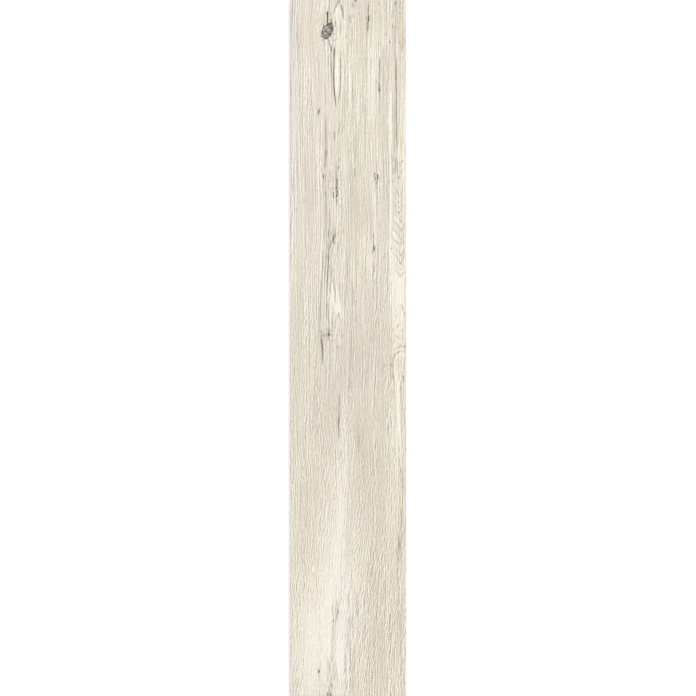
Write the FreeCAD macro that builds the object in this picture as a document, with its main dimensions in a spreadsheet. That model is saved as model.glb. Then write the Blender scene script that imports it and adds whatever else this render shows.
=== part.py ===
"""Rectified porcelain plank tile with a wood look face, lying face up.

One pressed and fired piece. The origin is the middle of the bed face, +Z points out of the
printed face, and the plank's length runs along Y. Lengths are in millimetres.
"""

import FreeCAD, Part
import math
import os
import Sketcher

# Driving dimensions: name, value and what it is. They become the cells of the sheet.
DIMENSIONS = (
    ("plank_length", 1200.0, "rectified length"),
    ("plank_width", 200.0, "rectified width"),
    ("plank_thickness", 9.0, "from the bed face to the printed face"),
    ("arris_bevel", 0.7, "bevel ground round the printed face after squaring"),
    ("bed_land", 7.0, "least plain margin round the keyed back"),
    ("cell_pitch", 21.0, "spacing of the keying cells, both ways"),
    ("rib_width", 3.0, "width of the ribs between the cells at the bed face"),
    ("relief_depth", 0.7, "depth of the keying cells"),
    ("wall_draft", 40.0, "lean of the cell walls from upright, in degrees"),
)

# A cell is a drafted square. Half its mouth is at the bed face and half its floor is at full depth.
HALF_MOUTH = "(Sizes.cell_pitch - Sizes.rib_width) / 2"
HALF_FLOOR = f"({HALF_MOUTH} - Sizes.relief_depth * tan(Sizes.wall_draft * 1 deg))"

# As many cells as fit between the plain margins, and the reach from the first cell to the last.
COLUMNS = "floor((Sizes.plank_width - 2 * Sizes.bed_land + Sizes.rib_width) / Sizes.cell_pitch)"
ROWS = "floor((Sizes.plank_length - 2 * Sizes.bed_land + Sizes.rib_width) / Sizes.cell_pitch)"
REACH_ACROSS = f"({COLUMNS} - 1) * Sizes.cell_pitch"
REACH_ALONG = f"({ROWS} - 1) * Sizes.cell_pitch"

# How the sketcher names the sides of a rectangle, the ends of a side and the sketch's origin.
LOWER_SIDE, RIGHT_SIDE, UPPER_SIDE, LEFT_SIDE = range(4)
START, END = 1, 2
ORIGIN = (-1, START)


def make_sizes(doc):
    """The sheet of driving dimensions, each in a named cell."""
    sheet = doc.addObject("Spreadsheet::Sheet", "Sizes")
    for row, (name, value, meaning) in enumerate(DIMENSIONS, start=1):
        sheet.set(f"A{row}", name)
        sheet.set(f"B{row}", str(value))
        sheet.set(f"C{row}", meaning)
        sheet.setAlias(f"B{row}", name)
    doc.recompute()
    return sheet


def origin_feature(body, role):
    """One of the body's own origin planes or axes. The XY plane is the plane of the bed face."""
    return next(item for item in body.Origin.OriginFeatures if item.Role == role)


def draw_rectangle(sketch, half_width, half_length):
    """Four joined lines, level and upright, with the sketch's origin in the middle."""
    corners = [
        FreeCAD.Vector(-half_width, -half_length, 0),
        FreeCAD.Vector(half_width, -half_length, 0),
        FreeCAD.Vector(half_width, half_length, 0),
        FreeCAD.Vector(-half_width, half_length, 0),
    ]
    for side in range(4):
        sketch.addGeometry(Part.LineSegment(corners[side], corners[(side + 1) % 4]), False)
    for side in range(4):
        sketch.addConstraint(Sketcher.Constraint("Coincident", side, END, (side + 1) % 4, START))
    for side in (LOWER_SIDE, UPPER_SIDE):
        sketch.addConstraint(Sketcher.Constraint("Horizontal", side))
    for side in (RIGHT_SIDE, LEFT_SIDE):
        sketch.addConstraint(Sketcher.Constraint("Vertical", side))
    sketch.addConstraint(
        Sketcher.Constraint("Symmetric", LOWER_SIDE, START, UPPER_SIDE, START, *ORIGIN)
    )


def drive_side(sketch, name, kind, side, expression, rough):
    """A named length on one side of a sketch that follows an expression."""
    index = sketch.addConstraint(Sketcher.Constraint(kind, side, START, side, END, rough))
    sketch.renameConstraint(index, name)
    sketch.setExpression(f"Constraints.{name}", expression)


def press_slab(doc, body):
    """The flat slab: the squared outline, padded up from the bed face."""
    rough_width, rough_length = 180, 1000
    outline = body.newObject("Sketcher::SketchObject", "PlankOutline")
    outline.AttachmentSupport = [(origin_feature(body, "XY_Plane"), "")]
    outline.MapMode = "FlatFace"
    draw_rectangle(outline, rough_width / 2, rough_length / 2)
    drive_side(outline, "width", "DistanceX", LOWER_SIDE, "Sizes.plank_width", rough_width)
    drive_side(outline, "length", "DistanceY", RIGHT_SIDE, "Sizes.plank_length", rough_length)

    slab = body.newObject("PartDesign::Pad", "Slab")
    slab.Profile = outline
    slab.setExpression("Length", "Sizes.plank_thickness")
    doc.recompute()
    return slab


def grind_arris(doc, body, slab):
    """The narrow bevel all round the printed face."""
    faces = slab.Shape.Faces
    printed_face = max(range(len(faces)), key=lambda index: faces[index].CenterOfMass.z)
    arris = body.newObject("PartDesign::Chamfer", "Arris")
    arris.Base = (slab, [f"Face{printed_face + 1}"])
    arris.setExpression("Size", "Sizes.arris_bevel")
    doc.recompute()


def press_first_cell(doc, body):
    """The keying cell in one corner of the back, narrowing from the bed face to its floor.

    A wedge grows along its own Y, so it is turned to stand on the bed face.
    """
    cell = body.newObject("PartDesign::SubtractiveWedge", "KeyingCell")
    cell.AttachmentSupport = [(origin_feature(body, "XY_Plane"), "")]
    cell.MapMode = "FlatFace"
    cell.AttachmentOffset = FreeCAD.Placement(
        FreeCAD.Vector(0, 0, 0), FreeCAD.Rotation(FreeCAD.Vector(1, 0, 0), 90)
    )
    cell.setExpression("AttachmentOffset.Base.x", f"-({REACH_ACROSS}) / 2")
    cell.setExpression("AttachmentOffset.Base.y", f"-({REACH_ALONG}) / 2")
    cell.setExpression("Ymin", "0 mm")
    cell.setExpression("Ymax", "Sizes.relief_depth")
    for way in ("X", "Z"):
        cell.setExpression(f"{way}min", f"-{HALF_MOUTH}")
        cell.setExpression(f"{way}max", HALF_MOUTH)
        cell.setExpression(f"{way}2min", f"-{HALF_FLOOR}")
        cell.setExpression(f"{way}2max", HALF_FLOOR)
    doc.recompute()
    return cell


def repeat_cell(doc, body, cell):
    """The waffle: the corner cell repeated across and along the back."""
    waffle = body.newObject("PartDesign::LinearPattern", "KeyingWaffle")
    waffle.Originals = [cell]
    waffle.Refine = False
    waffle.Direction = (origin_feature(body, "X_Axis"), [""])
    waffle.setExpression("Occurrences", COLUMNS)
    waffle.setExpression("Length", REACH_ACROSS)
    waffle.Direction2 = (origin_feature(body, "Y_Axis"), [""])
    waffle.setExpression("Occurrences2", ROWS)
    waffle.setExpression("Length2", REACH_ALONG)
    body.Tip = waffle
    doc.recompute()
    return waffle


def check_features(doc):
    """Stops the build if any object of the document failed to compute."""
    for item in doc.Objects:
        if "Invalid" in item.State or "Error" in item.State:
            raise RuntimeError(f"{item.Label} did not compute: {item.State}")


def check_solid(body, sheet, waffle):
    """Stops the build unless the tile is one valid solid with every cell cut out of it."""
    shape = body.Shape
    if shape.isNull() or not shape.isValid() or len(shape.Solids) != 1:
        raise RuntimeError(f"{body.Label} is not one valid solid")
    length, width, bevel = sheet.plank_length, sheet.plank_width, sheet.arris_bevel
    mouth = sheet.cell_pitch - sheet.rib_width
    floor = mouth - 2 * sheet.relief_depth * math.tan(math.radians(sheet.wall_draft))
    one_cell = sheet.relief_depth / 3 * (mouth**2 + mouth * floor + floor**2)
    cells = waffle.Occurrences * waffle.Occurrences2
    ground_off = bevel**2 * (length + width) - 4 / 3 * bevel**3
    expected = length * width * sheet.plank_thickness - ground_off - cells * one_cell
    if not math.isclose(shape.Volume, expected, rel_tol=1e-6):
        raise RuntimeError(f"{body.Label} holds {shape.Volume:.1f} mm3, not {expected:.1f}")
    print(f"{body.Label}: {cells} cells, {len(shape.Faces)} faces, {shape.Volume:.1f} mm3")


def main():
    doc = FreeCAD.newDocument("PlankTile")
    sheet = make_sizes(doc)
    tile = doc.addObject("PartDesign::Body", "PlankTile")
    tile.Label = "porcelain_plank"
    slab = press_slab(doc, tile)
    grind_arris(doc, tile, slab)
    cell = press_first_cell(doc, tile)
    waffle = repeat_cell(doc, tile, cell)
    check_features(doc)
    check_solid(tile, sheet, waffle)
    os.makedirs("parts", exist_ok=True)
    tile.Shape.exportStep(f"parts/{tile.Label}.step")


main()
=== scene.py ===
"""Looks of a porcelain plank tile: its printed wood face, ground bevel, squared edges and keyed back.

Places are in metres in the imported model's frame: +Z out of the printed face, +Y towards the head of
the plank, +X to the right. What the print shows is listed by its column and row in the photo, and
place() turns those to metres. Sizes on the print are in millimetres.
"""

import math
from typing import NamedTuple

import bpy
import numpy as np
from bpy.props import FloatProperty, FloatVectorProperty, IntProperty, PointerProperty
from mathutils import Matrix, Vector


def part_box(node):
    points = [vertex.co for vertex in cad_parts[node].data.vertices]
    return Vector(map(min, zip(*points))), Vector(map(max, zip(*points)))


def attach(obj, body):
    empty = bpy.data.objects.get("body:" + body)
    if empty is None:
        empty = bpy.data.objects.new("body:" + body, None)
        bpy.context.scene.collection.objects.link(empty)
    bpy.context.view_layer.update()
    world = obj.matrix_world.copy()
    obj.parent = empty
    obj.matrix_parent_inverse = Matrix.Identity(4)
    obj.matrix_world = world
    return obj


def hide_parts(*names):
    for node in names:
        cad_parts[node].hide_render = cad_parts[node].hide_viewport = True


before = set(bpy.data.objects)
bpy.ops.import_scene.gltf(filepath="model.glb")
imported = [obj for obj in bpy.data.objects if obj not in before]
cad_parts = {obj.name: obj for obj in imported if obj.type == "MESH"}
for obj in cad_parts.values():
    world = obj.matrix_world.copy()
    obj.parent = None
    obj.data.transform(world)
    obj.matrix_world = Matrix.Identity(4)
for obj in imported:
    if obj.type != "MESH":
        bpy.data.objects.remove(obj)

bl_info = {
    "name": "Porcelain Plank Tile",
    "version": (1, 0, 0),
    "blender": (4, 5, 0),
    "location": "View3D > Sidebar > Plank Tile",
    "description": "Builds the printed porcelain plank and the stage it lies on",
    "category": "Object",
}

NODE = "porcelain_plank"
MM = 0.001
LOW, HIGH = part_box(NODE)

# Where the face lies in the photo, which is 696 pixels square, and how long a pixel is on the plank.
FACE_LEFT, FACE_RIGHT = 290.0, 406.0
FACE_HEAD, FACE_FOOT = 0.0, 696.0
PIXEL = (HIGH.y - LOW.y) / (FACE_FOOT - FACE_HEAD)

GREY_LEVELS = 255.0
SEED = 20


def linear(hex_colour):
    """The linear RGB of an sRGB hex colour."""
    channels = np.array([int(hex_colour[i:i + 2], 16) for i in (1, 3, 5)]) / GREY_LEVELS
    curved = ((channels + 0.055) / 1.055) ** 2.4
    return tuple(float(c) for c in np.where(channels <= 0.04045, channels / 12.92, curved))


def rgba(colour):
    """A linear RGB colour with full opacity."""
    return (*colour, 1.0)


# What the print shows


class Knot(NamedTuple):
    """An oval knot: half its size in pixels, its lean, and how strongly it shows, from 0 to 1.

    Its pale heart lies off the middle by the shift, in pixels to the right and up.
    """

    col: float
    row: float
    half_cols: float
    half_rows: float
    lean: float
    shift: tuple
    depth: float


class Streak(NamedTuple):
    """A line of the print: its width in millimetres, its shift of tone in grey levels, and its path."""

    width: float
    tone: float
    path: tuple


class Zone(NamedTuple):
    """A soft patch of the print: half its size in pixels, its shift of tone, its tint and its warmth.

    A tint above 0 is rose and one below 0 is green. Warmth above 0 is yellow and below 0 is cool.
    """

    col: float
    row: float
    half_cols: float
    half_rows: float
    tone: float
    tint: float = 0.0
    warmth: float = 0.0


def streak(width, tone, *numbers):
    """A streak whose path is given as columns and rows by turns.

    A path of three numbers is upright: its column, and the rows where it starts and ends.
    """
    if len(numbers) == 3:
        col, start, end = numbers
        numbers = (col, start, col, end)
    return Streak(width, tone, tuple(zip(numbers[0::2], numbers[1::2])))


KNOTS = (
    Knot(col=327.4, row=31.5, half_cols=5.3, half_rows=7.9, lean=0.27, shift=(1.4, 0.8), depth=1.0),
    Knot(col=329.4, row=697.0, half_cols=2.6, half_rows=4.4, lean=0.0, shift=(0.0, 0.0), depth=0.35),
)

# Streaks of each part of the face, drawn from the head to the foot: width, tone and path.
# Those round the large knot are its rings, the cracks above and below it and the arch beside it.
ROUND_LARGE_KNOT = (
    (4.6, -50, 338.4, 0, 339.3, 3.6), (1.8, 15, 325.5, 2, 325.4, 5), (1.8, -14, 327.6, 2, 327.2, 11),
    (2, -44, 337.8, 2.4, 336.6, 5.2, 335.4, 8),
    (2, -66, 339.6, 2.6, 341.4, 6.6, 342.7, 11, 343.2, 15, 343.4, 20), (1.8, 18, 323.8, 3, 323.5, 6),
    (1.8, -42, 336, 6, 335, 9, 333.9, 13, 333.4, 16), (2, 30, 344.7, 6, 344.8, 30, 344.8, 62),
    (1.8, 22, 317.5, 6.5, 11.5), (3.4, 26, 336.5, 7.5, 336.8, 13), (2.4, -160, 327.5, 10.2, 25.4),
    (2.2, 20, 335.4, 11.5, 335, 15), (2.1, -44, 330, 12.5, 330.6, 17),
    (1.8, -24, 325.8, 12.6, 325.9, 14.4), (1.9, 28, 325.4, 15, 325.6, 16.4),
    (1.6, 16, 316.4, 15.5, 18.5), (1.6, -12, 343.5, 18, 343.4, 31),
    (2.4, -62, 330.6, 18.8, 331.2, 21.5, 332.2, 24),
    (1.9, -36, 340.2, 19, 340.9, 26, 340.5, 33, 339.6, 37), (1.6, 14, 342.4, 19, 342.2, 34),
    (2.6, -22, 335.5, 20.5, 335.6, 27.8), (2.8, -34, 325, 22.4, 324.6, 24.6),
    (1.9, -60, 329.4, 22.4, 331.2, 23.2, 332.8, 24.4),
    (2.2, 14, 318.4, 24, 317.6, 30, 318.6, 38, 322, 44),
    (3.5, -108, 329.4, 24, 331.4, 26.2, 332.2, 28.4, 331.8, 30.8, 330.2, 33, 328.4, 34.8, 326.6, 36.2),
    (1.7, 30, 331.6, 24.4, 332.8, 26),
    (1.9, -96, 326.6, 25, 324.6, 26.6, 323, 28.8, 322.4, 31.6, 322.2, 34.4, 322.6, 37),
    (1.7, -15, 338.4, 25.5, 338.5, 32.5), (1.9, 40, 328, 26, 328.7, 26.8),
    (2.3, -108, 325.8, 26.4, 327.6, 25.2, 329.4, 24.5, 331.4, 24), (1.9, -66, 332.6, 26.6, 333.3, 28.6),
    (1.8, -84, 330.2, 27, 327.9, 27.8, 326.8, 29.4, 326.3, 31.6, 327.2, 34, 329, 35.6),
    (1.8, 24, 325.7, 28.2, 325.9, 29.4), (1.5, -34, 329, 28.6, 329.2, 30.4),
    (1.7, -36, 324.8, 28.8, 324.6, 30.2), (2.1, -50, 326.4, 30.8, 326.7, 32.2),
    (1.8, -22, 319.7, 31, 320.3, 37.6), (2, 30, 324.2, 31, 324.5, 32.2),
    (1.6, -30, 328.4, 32, 328.2, 33.4), (1.8, 28, 332.2, 32.4, 333, 33.4),
    (2.3, -96, 322.2, 32.8, 322.8, 35.8, 324.2, 37.4, 326, 38, 327.6, 37),
    (1.6, -26, 333.5, 33, 334, 34.8), (2.1, -56, 331.6, 33.4, 330.4, 36, 328.6, 38.6),
    (2.2, -36, 324.6, 33.6, 325.6, 35.6), (2, 34, 326.2, 34, 326.5, 35.2),
    (2.6, -78, 327.2, 35, 328.9, 34.6), (1.4, 22, 331.2, 35.4, 331, 37.2),
    (1.6, -24, 333.4, 35.4, 332, 38.8),
    (1.5, -22, 340, 35.5, 338.6, 38.2, 336.4, 39.8, 333.2, 41, 330.6, 41.4),
    (1.7, 24, 333.8, 36.2, 334.2, 37.4), (1.8, 30, 329.2, 36.4, 329.4, 37.6),
    (1.8, 26, 321.2, 38.4, 322.6, 39.8), (1.9, -44, 324.2, 38.6, 324.9, 40),
    (2.4, -52, 326.4, 39.2, 327.6, 39.6), (1.8, -30, 321.2, 39.6, 323.6, 41.6),
    (2.4, -52, 326.2, 39.6, 328.1, 38.4), (2.3, -60, 328.5, 40.6, 329.5, 44.2, 330.7, 47.4, 331.3, 52),
    (1.8, 20, 320.6, 41, 322.2, 42.2), (1.5, -14, 324.4, 43.5, 328.2, 43.5),
    (1.5, -112, 334.2, 46, 334, 60, 333.7, 76, 334.3, 96), (2.3, -60, 334.3, 47.6, 334.2, 57),
    (2, -46, 331.4, 49.6, 52.8), (1.7, -56, 340.3, 50, 340.4, 80, 339.6, 94, 337.4, 106),
    (1.5, -20, 331.2, 52, 331, 62, 331.4, 76), (4.6, 20, 337.3, 54, 337.3, 80, 336.9, 99),
    (1.7, -24, 328.5, 55, 328.6, 66), (1.6, 14, 342.5, 60, 100), (1.8, 34, 335.5, 66, 94),
    (1.6, -84, 334.2, 86, 334.6, 95, 335.4, 101, 335.9, 109),
)
HEAD = (
    (3.4, -110, 355.2, -2, 355.4, 2.2), (2.4, 22, 346.8, 0, 2.5), (1.6, -20, 347.6, 0, 4.5),
    (2.2, 24, 352.5, 0.5, 354, 3), (1.8, -26, 399.4, 1, 399.6, 3.4),
    (2.2, -24, 353.4, 1.2, 352.5, 4, 355.2, 6.6), (2.4, 20, 348.4, 1.5, 350.4, 3),
    (2.3, -50, 395.3, 2.2, 5), (1.9, -36, 378.2, 2.4, 378.6, 4.8), (1.8, 18, 397.3, 2.6, 4.6),
    (1.9, 24, 370.2, 3, 370, 17), (1.9, -26, 386.6, 3, 386.2, 6.6), (2.6, -50, 368.9, 3.5, 368.2, 16),
    (1.9, -30, 352.4, 3.6, 352.6, 8), (1.8, -28, 399.2, 5.4, 400, 7.8), (2, 30, 396.4, 5.8, 397.4, 7.6),
    (2.2, -44, 393.4, 6.2, 394.6, 4.8, 395.6, 3.4, 395.6, 1.6), (1.9, -34, 396, 8.6, 397.8, 10),
    (1.7, -28, 384, 9.6, 386.8, 10.4), (1.8, 28, 398.6, 10.4, 400.4, 9.4),
    (1.8, -30, 393.6, 11, 392.6, 14, 393.4, 17.4), (1.8, -28, 357.6, 12, 359.6, 15),
    (1.8, 28, 396.4, 12, 397.2, 14.2), (1.8, -34, 398.2, 12.2, 399.6, 13.8),
    (1.9, -42, 352.5, 14, 352.4, 18.6), (2.2, -100, 368.6, 14.6, 22.6), (1.9, 18, 364.9, 15, 33),
    (1.9, -54, 349.4, 15.2, 20.4), (1.8, -52, 366.5, 16.4, 366.4, 20.6), (1.3, 18, 367.5, 16.5, 20.5),
    (1.9, -28, 372.5, 19, 21), (2, -40, 350.2, 20, 350.4, 23.8), (1.5, 22, 369.9, 20.5, 369.8, 25),
    (4.4, -38, 367.7, 20.6, 367.1, 31.6), (1.8, 20, 395.4, 20.6, 23.4),
    (1.8, -34, 391.8, 23.6, 392.8, 27, 393.6, 29.8), (1.7, -30, 394.2, 24.4, 396.6, 24.2),
    (2.2, -16, 348.4, 25.6, 28.4), (1.7, -34, 395.2, 27, 29), (1.6, -22, 351.4, 27.5, 36.5),
    (1.6, 24, 394.3, 28.4, 30.4), (2.4, -26, 367.2, 29, 366.5, 38), (1.8, -26, 403.6, 31, 403.5, 33.4),
    (1.8, -32, 385.4, 33.4, 385.6, 36.4), (2.3, -52, 345.8, 35.4, 346.4, 37.6),
    (2, -22, 403.6, 36, 403.7, 44), (1.6, -26, 399.6, 40.5, 44.5), (2.4, -50, 389.8, 40.6, 44),
    (1.5, 18, 388.3, 41, 44.5), (1.8, -18, 350.4, 41.5, 44.5), (1.5, 18, 391.4, 42, 44.5),
    (2, -24, 380, 42.5, 46.5), (1.6, -36, 400.6, 43, 402, 46.4, 401.2, 50, 400.6, 53),
    (1.8, -18, 347.5, 43.5, 48.5), (1.7, -20, 386.6, 44, 53), (1.8, 20, 370.5, 46, 370.6, 61),
    (2.2, 26, 372.4, 50, 372.4, 96, 372.4, 140),
    (2.3, 36, 390.4, 52, 390.4, 160, 390.3, 250, 390.4, 290), (1.9, -18, 386.6, 55, 67),
    (2.9, -30, 396, 55, 82), (1.5, -26, 331.9, 56, 331.6, 100), (2, -48, 379.6, 56, 84),
    (1.9, -20, 379.8, 56, 379.7, 68), (1.7, -24, 399.9, 56.5, 399.5, 60.5), (1.7, -26, 371.5, 59, 71),
    (1.6, -56, 396.2, 60, 396.4, 116, 396.8, 156), (1.6, 16, 376.5, 64, 376.4, 71),
    (1.5, -24, 401.4, 76, 402.4, 79.5), (1.8, -24, 376.6, 79.5, 83.5), (1.9, 20, 381.5, 80, 381.4, 97),
    (3.2, -64, 379.1, 81.5, 379.3, 92.5), (1.5, -22, 324.5, 82, 325.2, 95, 326, 106),
    (1.5, -20, 396.4, 84, 106), (2.2, -50, 379.6, 88, 96), (1.5, -18, 392.6, 88, 392.7, 164),
    (1.5, -22, 363, 92, 116), (1.6, -30, 364.8, 92, 365, 130, 364.8, 168),
    (1.7, 18, 391.6, 94, 391.5, 118), (1.8, -34, 379.5, 95, 103), (1.8, -26, 394.8, 98, 394.6, 160),
    (1.6, -18, 379.5, 102, 379.6, 114), (2.4, -48, 319.9, 108.2, 319.2, 110.8),
    (2.2, -104, 319, 110.2, 318.5, 113.8), (1.8, -26, 318.4, 113.5, 318, 116.5),
    (1.7, -38, 325.4, 114, 325.8, 142, 325.4, 170), (1.8, 14, 329, 114, 162),
    (1.6, -24, 327.5, 116, 327.4, 162), (2.1, -60, 334.2, 130, 141), (2.2, -20, 355.2, 132, 164),
    (1.6, -30, 337.4, 136, 341.4, 120), (1.4, -22, 339.5, 137, 344.5, 123),
    (1.6, -26, 388.8, 150, 388.7, 226),
)
UPPER_KNOTS = (
    (2.2, -16, 325.3, 148, 325.2, 171), (1.9, -22, 338.4, 148, 156.5), (2.2, -20, 326.5, 149, 157),
    (1.8, 16, 329.5, 149, 169), (1.7, -38, 338.5, 157, 162), (2, -28, 376.6, 160, 376.7, 174),
    (1.8, -16, 336.5, 161.6, 164.4), (1.8, -36, 324.4, 163, 168.6), (2, 24, 340.9, 163, 340.8, 172.5),
    (1.8, 20, 381, 163, 169), (2, -40, 336.5, 165, 168.6), (2.5, -38, 338.8, 165.4, 338.7, 170.6),
    (2, -34, 354.6, 167, 354.4, 178), (1.6, 18, 327.3, 167.5, 176.5),
    (1.9, -28, 336.5, 168, 336.4, 178), (3.8, -20, 330.3, 170.5, 331, 180),
    (1.3, 16, 324.6, 171.5, 182.5), (1.8, 28, 375.3, 171.6, 375.5, 173), (2, -44, 325.5, 172, 182.4),
    (1.6, -18, 357.4, 172, 176), (1.8, 26, 373.5, 172.8, 174.4), (2.2, -76, 374.6, 173, 374.7, 175.6),
    (2.3, -96, 377.2, 173.4, 377.5, 177, 377.6, 180.4), (2, -60, 323.5, 174, 179),
    (1.7, -16, 380.4, 174.5, 380.3, 180.5), (1.6, 26, 375.7, 175.6, 375.8, 177),
    (2.2, -48, 374.6, 176.6, 374.9, 179), (4.2, -42, 336.5, 177, 336.7, 184, 336.3, 191),
    (1.8, 28, 373.3, 177.5, 373.4, 179.3), (3.4, -28, 375.4, 177.6, 376, 181.6),
    (1.9, -28, 323.6, 178, 191), (1.8, -22, 336.5, 178, 337.8, 182), (1.6, 18, 334.6, 180, 185),
    (1.9, -44, 330.8, 180.2, 329.5, 181.6, 328.2, 181.8), (2, -30, 379.6, 180.6, 379.5, 182.4),
    (1.8, -26, 325.6, 181, 325.6, 212, 325.5, 240), (2.5, 18, 373.2, 181, 373.3, 190),
    (2.5, -54, 376.6, 181, 376.7, 184), (1.9, 26, 379.5, 182.6, 184.4), (1.6, -16, 328.5, 183.6, 190.4),
    (1.7, -22, 340.4, 183.6, 340.6, 185.8), (2.2, -26, 376.5, 183.6, 376.6, 189),
    (3.8, 14, 374, 186, 373.8, 206, 373.8, 232), (2.4, -28, 336.2, 186.6, 336.4, 190.6),
    (1.8, -32, 332.9, 187.2, 331.2, 190, 330.3, 192.8), (1.9, -22, 379.5, 188, 190.6),
    (1.6, -26, 339.6, 188.5, 190.2), (2.1, -84, 337.2, 190.4, 337.5, 193.6),
    (1.9, 26, 339.7, 190.8, 338.7, 193.4), (1.8, -20, 325.5, 191.4, 196.4),
    (1.8, -64, 334.6, 191.6, 333.1, 194, 333.4, 196.6, 334.8, 198.8),
    (1.5, 26, 335.3, 192, 334.7, 195.2, 335.5, 199.6), (1.8, -20, 328.5, 193.6, 328.6, 196.4),
    (2.6, -92, 336.5, 193.6, 336.7, 197.6), (1.8, -44, 338, 193.6, 338.9, 195.2),
    (1.9, 22, 339.4, 195.8, 340.6, 197.2), (2, -30, 304, 197, 204.5),
    (1.8, -44, 336.6, 197.6, 336.8, 202, 337.6, 204.6), (1.7, -32, 338.4, 198.4, 340.6, 198.7),
    (1.8, 20, 343.5, 199.5, 204.5), (1.5, -30, 338.3, 203.8, 339.8, 207, 342, 209.8),
    (2, -28, 329.3, 207, 329.2, 230), (2.2, -30, 296.4, 208.5, 211.5), (1.9, -20, 324.3, 227, 245),
    (2.4, 20, 337.8, 227, 241), (3.2, -34, 334.8, 227.6, 335.3, 237.6),
    (2.1, -44, 328.6, 229, 328.5, 238.6), (1.8, -34, 343.4, 229, 233.6), (1.7, -28, 331.6, 231, 237),
    (1.6, -40, 371.5, 233, 373.6, 235, 373.6, 240), (3.2, -54, 334.2, 233.6, 333.4, 238.6, 333.8, 245),
    (2.1, -40, 335.4, 235, 238), (2, -40, 333.4, 237.4, 239.8),
    (1.9, -34, 327.6, 238, 326.8, 249, 326.4, 263),
    (2.1, -40, 332.3, 239, 331, 243.4, 329.7, 248, 329, 251), (1.8, 28, 375.3, 239.5, 375.2, 246.6),
    (1.5, 20, 372.2, 240, 372, 247), (1.8, -52, 373.6, 240, 373.4, 244.5),
    (1.6, 24, 332.7, 240.4, 332.6, 246.6), (1.8, -30, 334, 242, 244), (1.9, -24, 338.6, 243, 252.6),
    (1.9, 26, 340.4, 244, 261), (2.1, -74, 373.8, 244, 374, 249, 373.4, 253),
    (2.2, -54, 373.4, 246.4, 373.9, 250.6), (1.7, -20, 342, 247, 257), (2, -36, 323, 248, 322.9, 272),
    (1.8, -40, 375.8, 248, 374.8, 250), (1.7, -42, 325.8, 250, 278),
    (1.9, -58, 328.6, 250, 328.3, 263, 327.7, 273, 327.4, 286), (1.5, -24, 372.4, 251, 371.4, 254),
    (1.9, -40, 374, 262, 274), (3, -24, 332, 267, 281), (2, -16, 322.3, 268, 322.2, 291),
    (1.4, -18, 374, 272, 288), (1.8, -58, 333.6, 280, 331.6, 281, 330.4, 284, 329.8, 288, 329.6, 294),
    (1.6, -38, 331.8, 281, 333.6, 282, 334.5, 292, 334.9, 306),
    (2.6, 30, 332.4, 283, 332.3, 292, 332.8, 303),
)
MIDDLE = (
    (1.8, 26, 343.5, 250, 343.4, 264), (1.7, -34, 347.2, 252, 347.3, 302), (1.8, 20, 350.8, 258, 282),
    (1.7, -28, 324.6, 262, 324.4, 292, 323.6, 326), (1.7, -32, 321.4, 276, 320.8, 290, 320.5, 306),
    (1.7, 22, 343.4, 276, 302), (1.8, -44, 327.4, 278, 326.7, 292, 326.6, 312),
    (1.5, -22, 321.6, 280, 302), (1.5, -28, 339.5, 280, 339.7, 300), (1.7, -34, 352.6, 280, 306),
    (1.6, -34, 342.3, 281, 342.5, 306), (2, 42, 331.4, 282.6, 331.7, 293),
    (5.6, 20, 333, 284, 335.2, 302, 338.6, 320), (1.6, -34, 334.6, 284, 335.9, 304),
    (1.6, -30, 345.2, 286, 345.1, 306), (1.8, 36, 336.8, 287, 338, 301),
    (2.4, 18, 333.2, 293, 334.4, 310), (1.6, -50, 320.5, 300, 320.4, 324), (2.3, -34, 328.7, 300, 326),
    (1.6, 16, 330.6, 300, 330.5, 322), (2.2, 38, 338.2, 300, 340, 315), (1.6, -52, 326.6, 302, 321),
    (1.8, 22, 340.4, 303, 341.4, 320), (1.5, -24, 333.6, 305, 333.2, 330), (1.5, -22, 318.6, 312, 328),
    (1.9, 26, 338.7, 317, 321), (1.7, 22, 316.6, 318, 337),
    (1.6, -40, 337.2, 322, 338.5, 312.4, 340.2, 321), (1.7, 20, 336.6, 324, 332),
    (2, -34, 334.4, 325.6, 334.2, 328.4, 332.6, 328.6), (2, -34, 319.6, 327, 329.4),
    (2.1, -38, 328.6, 327.6, 333), (1.9, -32, 327.4, 328.6, 326.8, 330.4),
    (1.5, -44, 331.4, 328.6, 332), (2.1, -50, 321.4, 330.4, 321.5, 332.6),
    (2, 24, 332.5, 330.4, 332.6, 332.6), (1.9, -30, 319.5, 330.6, 319.6, 332.4),
    (1.7, -38, 329.6, 330.6, 330.6, 332.4, 330.6, 334.4), (2.8, -24, 321.7, 332, 321.8, 336.4),
    (2.1, -116, 328.5, 332.8, 328.9, 336), (1.7, -52, 326.5, 333.4, 326.6, 336.4),
    (1.6, -26, 331.5, 333.6, 335.4), (1.8, -76, 324.4, 334, 324.5, 337),
    (1.9, -60, 329.6, 334.4, 329.9, 336.6),
    (1.9, -84, 321.2, 334.6, 321.5, 340, 322.1, 345, 322.5, 352, 322.6, 366),
    (1.7, -36, 342.6, 334.6, 337.4), (1.8, -32, 322.6, 335.6, 322.4, 337),
    (2.4, -36, 328.6, 336.4, 328.5, 340.8), (1.7, 24, 330.5, 336.6, 330.4, 339.4),
    (2.1, -44, 332, 340.2, 333.8, 341.2), (1.9, 22, 332.5, 344, 345.4), (1.9, 22, 335.5, 344, 345.4),
    (2.1, -36, 336.3, 345, 338.2, 348.2), (1.6, -28, 333, 345.4, 335.2, 345.8),
    (1.6, -32, 349, 376, 392), (2.2, -38, 339.3, 392, 338.9, 424), (2.2, -44, 338.7, 415, 338.6, 440),
    (2.4, -22, 338.6, 421, 338.7, 426), (1.6, 16, 340, 422, 340.4, 430),
    (3, -20, 302.2, 425.5, 302.8, 428.5), (1.6, -28, 358.4, 433, 454), (2, 17, 345.9, 437, 345.5, 493),
)
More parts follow.
